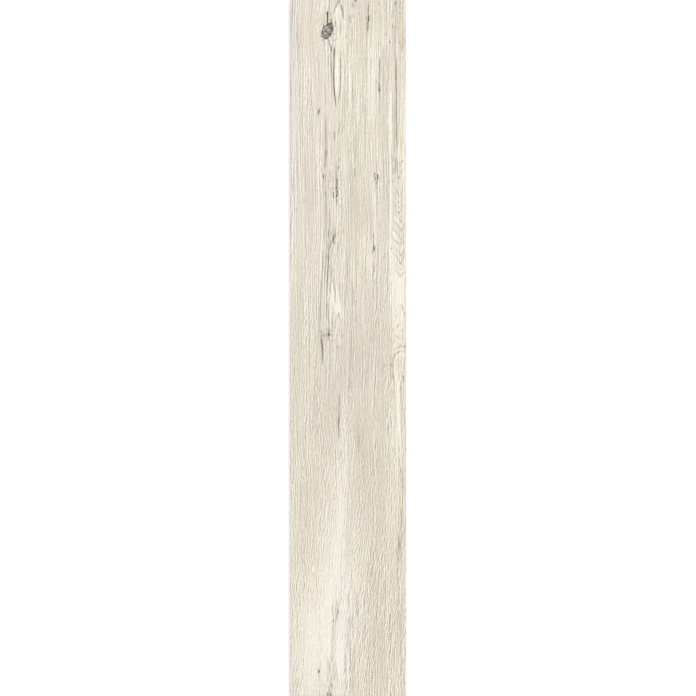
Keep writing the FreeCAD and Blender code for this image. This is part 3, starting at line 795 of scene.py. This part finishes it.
def press_plank(sizes):
    """The whole plank as one closed mesh, and the figure at the vertices of its face.

    The face is a height field z = top - relief(x, y) inside the bevel. Its rim slides down the
    bevel's 45 degree plane by the relief there, as where a bevel is ground on a structured face.
    """
    bevel, back_grid = measure_solid()
    xs, ys = face_lines(sizes, bevel)
    x, y = np.meshgrid(xs, ys, indexing="ij")
    figure = draw_figure(x, y)
    sunk = carve(figure, sizes.relief_depth)
    x[0] -= sunk[0]
    x[-1] += sunk[-1]
    y[:, 0] -= sunk[:, 0]
    y[:, -1] += sunk[:, -1]
    face_points = np.stack((x, y, HIGH.z - sunk), -1).reshape(-1, 3)
    face = np.arange(x.size).reshape(x.shape)
    rim, corners = rim_of(face)
    edges = side_edges(face_points[rim], corners, bevel)
    points = np.concatenate((face_points, *edges, back_grid.reshape(-1, 3)))
    upper = len(face_points) + np.arange(len(rim))
    lower = upper + len(rim)
    back = np.arange(lower[-1] + 1, len(points)).reshape(back_grid.shape[:2])

    printed_faces = grid_faces(face).tolist()
    body_faces = [
        *band_faces(rim, upper).tolist(),
        *band_faces(upper, lower).tolist(),
        *back_faces(back, points[:, 2]).tolist(),
        *land_faces(lower, corners, *rim_of(back)),
    ]
    mesh = bpy.data.meshes.new(NODE)
    mesh.from_pydata(points.tolist(), [], printed_faces + body_faces)
    is_body = np.arange(len(printed_faces) + len(body_faces)) >= len(printed_faces)
    mesh.polygons.foreach_set("material_index", is_body.astype(np.int32))
    mesh.polygons.foreach_set("use_smooth", ~is_body)
    middle = ys[np.abs(ys).argmin()]
    split = (middle - LOW.y) / (HIGH.y - LOW.y)
    lay_out_map(mesh, points, len(printed_faces), len(rim), split)
    return mesh, figure


def keep_vectors(mesh, name, *parts):
    """Stores three arrays as a vector attribute on the face's vertices. The body's vertices hold 0."""
    values = np.zeros((len(mesh.vertices), 3), np.float32)
    face_part = np.stack(parts, -1).reshape(-1, 3)
    values[:len(face_part)] = face_part
    mesh.attributes.new(name, "FLOAT_VECTOR", "POINT").data.foreach_set("vector", values.ravel())


# Nodes


# Sockets of a Mix node set to colour.
MIX_A, MIX_B, MIX_RESULT = 6, 7, 2


def add(tree, kind, sockets=None, **settings):
    """Adds a node, sets it up, and fills its sockets with values or links them to other sockets."""
    node = tree.nodes.new(kind)
    for name, value in settings.items():
        setattr(node, name, value)
    for key, value in (sockets or {}).items():
        if isinstance(value, bpy.types.NodeSocket):
            tree.links.new(value, node.inputs[key])
        else:
            node.inputs[key].default_value = value
    return node


def maths(tree, operation, *values, **settings):
    """The result of an operation on values or sockets, taken in order."""
    node = add(tree, "ShaderNodeMath", dict(enumerate(values)), operation=operation, **settings)
    return node.outputs["Value"]


def spread(tree, value, start, end, low=0.0, high=1.0):
    """Low where the value is at start, high where it is at end, and in proportion between them."""
    sockets = {"Value": value, "From Min": start, "From Max": end, "To Min": low, "To Max": high}
    return add(tree, "ShaderNodeMapRange", sockets).outputs["Result"]


def mix(tree, factor, under, over, blend_type="MIX"):
    """The colour under with as much of the colour over as the factor says."""
    sockets = {"Factor": factor, MIX_A: under, MIX_B: over}
    node = add(tree, "ShaderNodeMix", sockets, data_type="RGBA", blend_type=blend_type)
    return node.outputs[MIX_RESULT]


def colour_ramp(tree, value, stops):
    """The colour for a value from 0 to 1. Each stop is where a colour lies, and that linear colour."""
    ramp = add(tree, "ShaderNodeValToRGB", {"Fac": value})
    elements = ramp.color_ramp.elements
    while len(elements) < len(stops):
        elements.new(0.5)
    for element, (at, colour) in zip(elements, stops):
        element.position = at
        element.color = rgba(colour)
    return ramp.outputs["Color"]


def vector_attribute(tree, name):
    """A vector attribute of the mesh, and its three parts."""
    vector = add(tree, "ShaderNodeAttribute", attribute_name=name).outputs["Vector"]
    return vector, add(tree, "ShaderNodeSeparateXYZ", {"Vector": vector}).outputs


def new_tree(owner):
    """The empty node tree of a material or a world."""
    owner.use_nodes = True
    owner.node_tree.nodes.clear()
    return owner.node_tree


def new_material(name):
    """An empty node material with its Principled BSDF joined to the output."""
    material = bpy.data.materials.new(name)
    tree = new_tree(material)
    surface = add(tree, "ShaderNodeBsdfPrincipled")
    add(tree, "ShaderNodeOutputMaterial", {"Surface": surface.outputs["BSDF"]})
    return material, tree, surface


# The grain of the print


class Pattern(NamedTuple):
    """One scale of grain: its size across and along in millimetres and its slant off the grain.

    Its swing is in grey levels, at the head and at the foot.
    """

    across: float
    along: float
    slant: float = 0.0
    at_head: float = 0.0
    at_foot: float = 0.0


# Real pores and fibres are 0.1 to 0.4 mm wide, too fine for a render whose pixel is 1.7 mm. The finest
# patterns here are drawn as coarse as they need to show.
# Broad and fine grain are smooth noise. Dashes are straight lines with clear ends, each of a tone of
# its own. The mottle is the shortest grain, little longer than it is wide.
BROAD_GRAIN = (
    Pattern(26.0, 420.0, 0.0, 8.0, 8.0),
    Pattern(6.0, 220.0, 0.0, 12.0, 6.0),
)
FINE_GRAIN = (
    Pattern(1.7, 150.0, 0.0, 36.0, 24.0),
    Pattern(1.5, 30.0, 0.0, 18.0, 14.0),
    Pattern(1.5, 10.0, -0.1, 16.0, 20.0),
)
DASHES = (
    Pattern(2.4, 130.0, 0.0, 84.0, 20.0),
    Pattern(2.1, 34.0, -0.03, 36.0, 22.0),
    Pattern(2.0, 8.0, -0.07, 26.0, 36.0),
    Pattern(1.2, 3.6, -0.05, 84.0, 80.0),
)
MOTTLE = Pattern(1.5, 3.0, 0.0, 20.0, 20.0)

# Ripples are fine lines at a nearly even spacing in millimetres that fade in and out in patches.
# Each has its spacing, and the size, slant and swing of its patches. Its lines wander by some turns.
RIPPLES = (
    (3.7, Pattern(8.0, 9.0, -0.07, 70.0, 128.0)),
    (4.3, Pattern(8.0, 20.0, -0.06, 80.0, 116.0)),
    (5.1, Pattern(9.0, 13.0, -0.08, 40.0, 88.0)),
    (3.9, Pattern(8.0, 60.0, 0.0, 92.0, 54.0)),
    (4.7, Pattern(8.0, 140.0, 0.0, 92.0, 56.0)),
)
RIPPLE_WANDER = Pattern(15.0, 160.0)
RIPPLE_TURNS = 1.4

# Each pattern shows its own part of the noise: the number of the part times this step. The broad
# grain, the fine grain and the dashes are numbered on from 0. The others start at these.
NOISE_STEP = (13.7, 5.3, 3.1)
MOTTLE_PART, WANDER_PARTS, RIPPLE_PARTS, BUSY_PART = 9, 20, 30, 40

# A dash fades out between these distances from its middle, in its own sizes. Its gain makes up for
# the cube in its tone.
DASH_EDGE, DASH_CORE = 0.5, 0.2
DASH_GAIN = 4.0

# The fine grain is faint in calm bands and strong in busy ones. These are its strengths there, at
# the head and at the foot, and the noise that parts the two kinds.
BUSY_BANDS = Pattern(13.0, 170.0)
BUSY_NOISE = (0.35, 0.65)
CALM_STRENGTHS = (0.44, 0.53)
BUSY_STRENGTHS = (0.96, 0.99)

# Pale and dark places are calmer, from and up to these shifts of tone, down to this strength.
CALMING_SHIFTS = (4.0, 20.0)
CALMEST = 0.6

# Between these y in millimetres, towards the foot, the fine grain gets this much bolder.
BOLDER_ALONG = (-240.0, -420.0)
BOLDEST = 1.26

# Grey levels at the ends of the print's colour ramp, and the mean, from which shifts are counted.
RAMP_DARKEST, RAMP_PALEST = 150.0, 255.0
MEAN_TONE = 221.0
RAMP_STOPS = (
    (0.0, "grain_line"),
    (0.4, "dark_beige"),
    (0.6, "beige"),
    (0.7, "cream"),
    (0.8, "pale_cream"),
    (0.92, "limed_white"),
)

# What smooth noise stays within nearly everywhere.
USUAL_NOISE = (0.3, 0.7)

# The knot, in radii: how ragged its edge is, where its heart ends, and where its edge fades out. Its
# mottling has so many spots to a millimetre, follows the noise from and to these, and is so strong.
RAGGED = 0.16
HEART_EDGE = (0.26, 0.46)
KNOT_EDGE = (1.12, 0.92)
SPOTS_PER_MM = 0.45
SPOT_NOISE, SPOT_STRENGTH = (0.48, 0.7), 0.7

# Light streaks show on the knot as flecks: from and up to these shifts of tone, and this strong.
FLECK_SHIFTS, FLECK_STRENGTH = (4.0, 44.0), 0.8

# Specks break up the knot's rings, thin out between these radii, and are coarse enough to show. Each
# kind has the noise that it follows from and to, its strength and its colour.
SPECK_SIZE = 2.6
SPECK_REACH = (2.0, 0.95)
SPECKS = (
    (0.52, 0.60, 0.75, "knot_rim"),
    (0.46, 0.38, 0.5, "pale_cream"),
)

# The mark in grey levels that is fully the colour of a crack, and how much the fine grain frays it.
FULL_INK = 78.0
FRAY = (0.7, 1.3)

# The glaze and the body: their index of refraction, their roughness, and pores and grit that are too
# shallow for the mesh.
IOR = 1.5
GLAZE_ROUGHNESS, BODY_ROUGHNESS = (0.5, 0.62), 0.8
PORE_DEPTH, PORE_STRENGTH = 0.06 * MM, 0.6
GRIT_SIZE, GRIT_DEPTH, GRIT_STRENGTH = 0.9 * MM, 0.03 * MM, 0.5


class Grain(NamedTuple):
    """A node tree and its sockets for the place on the grain in millimetres and the shortness there."""

    tree: bpy.types.NodeTree
    across: bpy.types.NodeSocket
    along: bpy.types.NodeSocket
    shortness: bpy.types.NodeSocket


def by_row(grain, at_head, at_foot):
    """A strength that goes from the head's to the foot's as the grain gets shorter."""
    return spread(grain.tree, grain.shortness, 0.0, 1.0, at_head, at_foot)


def leaned(grain, slant):
    """The place across grain that is slanted."""
    return maths(grain.tree, "MULTIPLY_ADD", grain.along, slant, grain.across)


def stretched(grain, pattern, part):
    """Coordinates with one unit for the pattern's size, along the slanted grain."""
    sockets = {"X": leaned(grain, pattern.slant), "Y": grain.along}
    where = add(grain.tree, "ShaderNodeCombineXYZ", sockets).outputs["Vector"]
    scale = (1.0 / pattern.across, 1.0 / pattern.along, 0.0)
    shift = [part * step for step in NOISE_STEP]
    sockets = {0: where, 1: scale, 2: shift}
    return add(grain.tree, "ShaderNodeVectorMath", sockets, operation="MULTIPLY_ADD").outputs["Vector"]


def noise_of(grain, pattern, part):
    """Smooth noise from 0 to 1."""
    sockets = {"Vector": stretched(grain, pattern, part), "Scale": 1.0, "Detail": 0.0}
    return add(grain.tree, "ShaderNodeTexNoise", sockets).outputs["Fac"]


def centred(tree, noise):
    """Noise from -0.5 to 0.5."""
    return maths(tree, "SUBTRACT", noise, 0.5)


def dashes_of(grain, pattern, part):
    """One dash in each cell, fading out round its middle.

    Its tone is gain t^3 for a random t from -0.5 to 0.5, so that most dashes are faint.
    """
    tree = grain.tree
    sockets = {"Vector": stretched(grain, pattern, part), "Scale": 1.0}
    cells = add(tree, "ShaderNodeTexVoronoi", sockets, voronoi_dimensions="2D").outputs
    tones = add(tree, "ShaderNodeSeparateColor", {"Color": cells["Color"]}).outputs
    cubed = maths(tree, "POWER", centred(tree, tones["Red"]), 3.0)
    body = spread(tree, cells["Distance"], DASH_EDGE, DASH_CORE, high=DASH_GAIN)
    return maths(tree, "MULTIPLY", cubed, body)


def ripple_of(grain, spacing, patches, number):
    """A sine across the slanted grain with a wandering phase, times the noise of its patches."""
    tree = grain.tree
    wander = noise_of(grain, RIPPLE_WANDER, WANDER_PARTS + number)
    turns = maths(tree, "MULTIPLY", wander, math.tau * RIPPLE_TURNS)
    phase = maths(tree, "MULTIPLY_ADD", leaned(grain, patches.slant), math.tau / spacing, turns)
    patch = centred(tree, noise_of(grain, patches, RIPPLE_PARTS + number))
    return maths(tree, "MULTIPLY", maths(tree, "SINE", phase), patch)


def sum_up(grain, start, patterns, fields):
    """The start plus each pattern's field, centred on 0, times the pattern's swing."""
    total = start
    for pattern, field in zip(patterns, fields):
        swing = by_row(grain, pattern.at_head, pattern.at_foot)
        total = maths(grain.tree, "MULTIPLY_ADD", field, swing, total)
    return total


def fine_strength(grain, tone_shift):
    """How strong the fine grain is: by band, by how pale or dark the place is, and along the plank."""
    tree = grain.tree
    calm, busy = by_row(grain, *CALM_STRENGTHS), by_row(grain, *BUSY_STRENGTHS)
    band = spread(tree, noise_of(grain, BUSY_BANDS, BUSY_PART), *BUSY_NOISE, calm, busy)
    zone = spread(tree, maths(tree, "ABSOLUTE", tone_shift), *CALMING_SHIFTS, 1.0, CALMEST)
    boldness = spread(tree, grain.along, *BOLDER_ALONG, 1.0, BOLDEST)
    return maths(tree, "MULTIPLY", maths(tree, "MULTIPLY", band, zone), boldness)


def grain_tone(grain, tone_shift, broad, fine):
    """The shift of tone with the grain added. Broad and fine are the noises of those kinds of grain."""
    tree = grain.tree
    fields = [centred(tree, noise) for noise in fine]
    for part, pattern in enumerate(DASHES, start=len(broad) + len(fine)):
        fields.append(dashes_of(grain, pattern, part))
    fields.append(centred(tree, noise_of(grain, MOTTLE, MOTTLE_PART)))
    for number, (spacing, patches) in enumerate(RIPPLES):
        fields.append(ripple_of(grain, spacing, patches, number))
    patterns = (*FINE_GRAIN, *DASHES, MOTTLE, *(patches for _, patches in RIPPLES))
    fine_sum = sum_up(grain, 0.0, patterns, fields)
    broad_sum = sum_up(grain, tone_shift, BROAD_GRAIN, [centred(tree, noise) for noise in broad])
    return maths(tree, "MULTIPLY_ADD", fine_sum, fine_strength(grain, tone_shift), broad_sum)


def cast_ink(tree, colour, tint, warmth, colours):
    """The colour with the ink's casts multiplied in: rose or green, and warm or cool."""
    for field, sign, cast in (
        (tint, 1.0, colours.rose_cast),
        (tint, -1.0, colours.green_cast),
        (warmth, 1.0, colours.warm_cast),
        (warmth, -1.0, colours.cool_cast),
    ):
        amount = maths(tree, "MULTIPLY", field, sign, use_clamp=True)
        colour = mix(tree, amount, colour, rgba(cast), "MULTIPLY")
    return colour


def knot_colour(tree, radius, spots, tone_shift, colours):
    """The knot's wood with its pale heart, mottled by the spots and flecked by light streaks."""
    from_heart = spread(tree, radius, *HEART_EDGE)
    wood = mix(tree, from_heart, rgba(colours.knot_heart), rgba(colours.knot_wood))
    mottled = spread(tree, spots, *SPOT_NOISE, high=SPOT_STRENGTH)
    shaded = mix(tree, mottled, wood, rgba(colours.knot_rim))
    flecked = spread(tree, tone_shift, *FLECK_SHIFTS, high=FLECK_STRENGTH)
    return mix(tree, flecked, shaded, rgba(colours.pale_cream))


# Finishes


def printed_glaze(colours):
    """Matte glaze over an ink-jet wood print: pale limed oak, dry to the eye with no clear gloss."""
    material, tree, surface = new_material("matte glaze, printed limed oak")
    on_grain, (across, along, shortness) = vector_attribute(tree, "grain")
    _, (tone_shift, mark, to_knot) = vector_attribute(tree, "drawn")
    _, (tint, warmth, knot_depth) = vector_attribute(tree, "casts")
    grain = Grain(tree, across, along, shortness)
    noises = [noise_of(grain, pattern, part) for part, pattern in enumerate(BROAD_GRAIN + FINE_GRAIN)]
    broad, fine = noises[:len(BROAD_GRAIN)], noises[len(BROAD_GRAIN):]
    long_lines, short_lines, slanted_lines = fine
    tone = grain_tone(grain, tone_shift, broad, fine)
    position = spread(tree, tone, RAMP_DARKEST - MEAN_TONE, RAMP_PALEST - MEAN_TONE)
    stops = [(at, getattr(colours, name)) for at, name in RAMP_STOPS]
    colour = cast_ink(tree, colour_ramp(tree, position, stops), tint, warmth, colours)

    # The knot, ragged at its edge. Its rings are dark streaks.
    sockets = {"Vector": on_grain, "Scale": SPOTS_PER_MM, "Detail": 2.0}
    spots = add(tree, "ShaderNodeTexNoise", sockets).outputs["Fac"]
    radius = maths(tree, "ADD", to_knot, spread(tree, spots, *USUAL_NOISE, -RAGGED, RAGGED))
    amount = maths(tree, "MULTIPLY", spread(tree, radius, *KNOT_EDGE), knot_depth)
    colour = mix(tree, amount, colour, knot_colour(tree, radius, spots, tone_shift, colours))

    # Dark streaks, frayed along their length by the fine grain.
    frayed = maths(tree, "MULTIPLY", mark, spread(tree, short_lines, *USUAL_NOISE, *FRAY))
    colour = mix(tree, spread(tree, frayed, 0.0, FULL_INK), colour, rgba(colours.crack))

    # Dark and pale specks round the knot.
    sockets = {"Vector": on_grain, "Scale": 1.0 / SPECK_SIZE}
    specks = add(tree, "ShaderNodeTexNoise", sockets).outputs["Fac"]
    crowding = spread(tree, to_knot, *SPECK_REACH, high=knot_depth)
    for start, end, strength, name in SPECKS:
        amount = maths(tree, "MULTIPLY", spread(tree, specks, start, end, high=strength), crowding)
        colour = mix(tree, amount, colour, rgba(getattr(colours, name)))
    tree.links.new(colour, surface.inputs["Base Color"])

    # Pores pressed into the glaze, and a sheen that varies along the grain.
    sockets = {"Height": slanted_lines, "Distance": PORE_DEPTH, "Strength": PORE_STRENGTH}
    pores = add(tree, "ShaderNodeBump", sockets)
    tree.links.new(pores.outputs["Normal"], surface.inputs["Normal"])
    roughness = spread(tree, long_lines, *USUAL_NOISE, *GLAZE_ROUGHNESS)
    tree.links.new(roughness, surface.inputs["Roughness"])
    surface.inputs["IOR"].default_value = IOR
    return material


def porcelain_body(colours):
    """Unglazed fired porcelain, ground on the sides and pressed on the back: dense, chalky, pale."""
    material, tree, surface = new_material("unglazed porcelain body")
    where = add(tree, "ShaderNodeTexCoord").outputs["Object"]
    sockets = {"Vector": where, "Scale": 1.0 / GRIT_SIZE, "Detail": 3.0}
    grit = add(tree, "ShaderNodeTexNoise", sockets).outputs["Fac"]
    stops = list(zip(USUAL_NOISE, (colours.body_shade, colours.body)))
    tree.links.new(colour_ramp(tree, grit, stops), surface.inputs["Base Color"])
    sockets = {"Height": grit, "Distance": GRIT_DEPTH, "Strength": GRIT_STRENGTH}
    bump = add(tree, "ShaderNodeBump", sockets)
    tree.links.new(bump.outputs["Normal"], surface.inputs["Normal"])
    surface.inputs["Roughness"].default_value = BODY_ROUGHNESS
    surface.inputs["IOR"].default_value = IOR
    return material


# The stage


# How far the floor lies under the plank, and where the soft lamp hangs, in metres.
FLOOR_GAP = 0.02 * MM
LAMP_PLACE = (1.3, 1.0, 3.0)


def in_sight(tree):
    """1 for rays from the camera, straight or by reflection, and 0 for rays that light the scene."""
    rays = add(tree, "ShaderNodeLightPath").outputs
    seen = rays["Is Camera Ray"]
    for kind in ("Is Glossy Ray", "Is Transmission Ray"):
        seen = maths(tree, "MAXIMUM", seen, rays[kind])
    return seen


def lay_floor(stage):
    """A wide white floor under the plank. It looks white, and the plank still shades it."""
    material = bpy.data.materials.new("white studio floor")
    tree = new_tree(material)
    paper = add(tree, "ShaderNodeBsdfDiffuse", {"Color": rgba(stage.floor_colour)})
    lift = maths(tree, "MULTIPLY", in_sight(tree), stage.floor_lift)
    glow = add(tree, "ShaderNodeEmission", {"Strength": lift})
    both = add(tree, "ShaderNodeAddShader", {0: paper.outputs["BSDF"], 1: glow.outputs["Emission"]})
    add(tree, "ShaderNodeOutputMaterial", {"Surface": both.outputs["Shader"]})

    reach = stage.floor_reach
    corners = [(-reach, -reach), (reach, -reach), (reach, reach), (-reach, reach)]
    mesh = bpy.data.meshes.new("studio_floor")
    mesh.from_pydata([(x, y, LOW.z - FLOOR_GAP) for x, y in corners], [], [(0, 1, 2, 3)])
    mesh.materials.append(material)
    floor = bpy.data.objects.new("studio_floor", mesh)
    bpy.context.scene.collection.objects.link(floor)


def hang_lights(stage):
    """An even dome and one large soft lamp high on the right, so that the relief just shows.

    The dome looks white whatever its strength.
    """
    world = bpy.data.worlds.new("studio dome")
    bpy.context.scene.world = world
    tree = new_tree(world)
    strength = spread(tree, in_sight(tree), 0.0, 1.0, stage.dome_strength, 1.0)
    sky = add(tree, "ShaderNodeBackground", {"Color": rgba((1.0, 1.0, 1.0)), "Strength": strength})
    add(tree, "ShaderNodeOutputWorld", {"Surface": sky.outputs["Background"]})

    lamp = bpy.data.lights.new("softbox", "AREA")
    lamp.shape = "SQUARE"
    lamp.size = stage.lamp_size
    lamp.energy = stage.lamp_power
    softbox = bpy.data.objects.new("softbox", lamp)
    softbox.location = LAMP_PLACE
    softbox.rotation_euler = (-softbox.location).to_track_quat("-Z", "Y").to_euler()
    bpy.context.scene.collection.objects.link(softbox)


def set_camera(stage):
    """A long lens straight above, whose picture is as tall as the plank is long.

    A picture of sensor width w at focal length f spans w d / f at distance d.
    """
    data = bpy.data.cameras.new("camera")
    data.lens = stage.lens
    spanned = (HIGH.y - LOW.y) * stage.overfill
    distance = spanned * data.lens / data.sensor_width
    camera = bpy.data.objects.new("camera", data)
    camera.location = (0.0, 0.0, HIGH.z + distance)
    bpy.context.scene.collection.objects.link(camera)
    bpy.context.scene.camera = camera


# The add-on


def colour_property(name, description, hex_colour):
    """A colour that a user may change, written as sRGB hex."""
    return FloatVectorProperty(
        name=name, description=description, subtype="COLOR", size=3, min=0.0, max=1.0,
        default=linear(hex_colour),
    )


class PlankSizes(bpy.types.PropertyGroup):
    """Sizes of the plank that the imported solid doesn't give."""

    relief_depth: FloatProperty(
        name="Relief depth", description="Depth of the wood relief pressed into the face",
        default=0.35 * MM, min=0.0, unit="LENGTH",
    )
    cells_across: IntProperty(
        name="Cells across", description="Cells of the face's mesh across the plank",
        default=214, min=8,
    )
    cells_along: IntProperty(
        name="Cells along", description="Cells of the face's mesh along the plank",
        default=400, min=8,
    )


class PlankColours(bpy.types.PropertyGroup):
    """Colours of the print, from dark to pale, and of the body."""

    crack: colour_property("Crack", "Cracks and the darkest streaks", "#463D30")
    knot_rim: colour_property("Knot rim", "Dark mottling of a knot", "#6B655A")
    knot_wood: colour_property("Knot wood", "Wood of a knot between its rings", "#9A9487")
    knot_heart: colour_property("Knot heart", "Pale heart of a knot", "#BBB5B8")
    grain_line: colour_property("Grain line", "Darkest lines of the grain", "#9D9588")
    dark_beige: colour_property("Dark beige", "Dark side of the grain", "#C9C1B1")
    beige: colour_property("Beige", "Shaded grain", "#DFD7C8")
    cream: colour_property("Cream", "Main colour of the wood", "#E9E1D2")
    pale_cream: colour_property("Pale cream", "Light grain", "#F3ECDD")
    limed_white: colour_property("Limed white", "Palest streaks", "#FFFAEE")
    rose_cast: colour_property("Rose cast", "Multiplied into rosy patches", "#FFF6F2")
    green_cast: colour_property("Green cast", "Multiplied into greenish patches", "#FAFFF6")
    warm_cast: colour_property("Warm cast", "Multiplied into yellowish patches", "#FFFDF4")
    cool_cast: colour_property("Cool cast", "Multiplied into bluish patches", "#F9F9FF")
    body: colour_property("Body", "Fired porcelain body", "#DCD7CD")
    body_shade: colour_property("Body shade", "Darker flecks of the body", "#CBC5BA")


class StageSettings(bpy.types.PropertyGroup):
    """The floor, the lights and the camera."""

    floor_colour: colour_property("Floor", "Colour of the floor", "#F2F2F2")
    floor_reach: FloatProperty(
        name="Floor reach", description="Half the side of the floor", default=8.0, unit="LENGTH"
    )
    floor_lift: FloatProperty(
        name="Floor lift", description="Brings the lit floor up to white for the camera", default=0.26
    )
    dome_strength: FloatProperty(
        name="Dome strength", description="Even light from all round", default=0.84, min=0.0
    )
    lamp_power: FloatProperty(
        name="Lamp power", description="Power of the soft lamp", default=19.0, unit="POWER"
    )
    lamp_size: FloatProperty(
        name="Lamp size", description="Side of the soft lamp", default=1.6, unit="LENGTH"
    )
    lens: FloatProperty(
        name="Lens", description="Focal length of the camera", default=135.0, unit="CAMERA"
    )
    overfill: FloatProperty(
        name="Overfill", description="Share of the plank's length that the picture spans",
        default=0.9992,
    )


class PLANK_OT_press(bpy.types.Operator):
    """Builds the plank with its printed face and its body"""

    bl_idname = "plank.press"
    bl_label = "Press Plank"

    def execute(self, context):
        scene = context.scene
        mesh, figure = press_plank(scene.plank_sizes)
        keep_vectors(mesh, "grain", figure.across / MM, figure.along / MM, figure.shortness)
        keep_vectors(mesh, "drawn", figure.tone, figure.mark, figure.knot_radius)
        keep_vectors(mesh, "casts", figure.tint, figure.warmth, figure.knot_depth)
        mesh.materials.append(printed_glaze(scene.plank_colours))
        mesh.materials.append(porcelain_body(scene.plank_colours))
        piece = bpy.data.objects.new("wood_look_plank", mesh)
        scene.collection.objects.link(piece)
        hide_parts(NODE)
        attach(piece, "root")
        return {"FINISHED"}


class PLANK_OT_stage(bpy.types.Operator):
    """Sets the floor, the lights and the camera"""

    bl_idname = "plank.stage"
    bl_label = "Set Stage"

    def execute(self, context):
        stage = context.scene.plank_stage
        lay_floor(stage)
        hang_lights(stage)
        set_camera(stage)
        return {"FINISHED"}


class PLANK_PT_sidebar(bpy.types.Panel):
    """Lists the sizes, the colours and the steps"""

    bl_label = "Plank Tile"
    bl_idname = "PLANK_PT_sidebar"
    bl_space_type = "VIEW_3D"
    bl_region_type = "UI"
    bl_category = "Plank Tile"

    def draw(self, context):
        scene = context.scene
        for group in (scene.plank_sizes, scene.plank_colours, scene.plank_stage):
            for name in group.__annotations__:
                self.layout.prop(group, name)
        self.layout.operator(PLANK_OT_press.bl_idname)
        self.layout.operator(PLANK_OT_stage.bl_idname)


CLASSES = (PlankSizes, PlankColours, StageSettings, PLANK_OT_press, PLANK_OT_stage, PLANK_PT_sidebar)


def register():
    for cls in CLASSES:
        bpy.utils.register_class(cls)
    bpy.types.Scene.plank_sizes = PointerProperty(type=PlankSizes)
    bpy.types.Scene.plank_colours = PointerProperty(type=PlankColours)
    bpy.types.Scene.plank_stage = PointerProperty(type=StageSettings)


def unregister():
    del bpy.types.Scene.plank_stage
    del bpy.types.Scene.plank_colours
    del bpy.types.Scene.plank_sizes
    for cls in reversed(CLASSES):
        bpy.utils.unregister_class(cls)


def main():
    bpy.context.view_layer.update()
    register()
    bpy.ops.plank.press()
    bpy.ops.plank.stage()
    bpy.context.scene.view_settings.view_transform = "Standard"


if __name__ == "__main__":
    main()
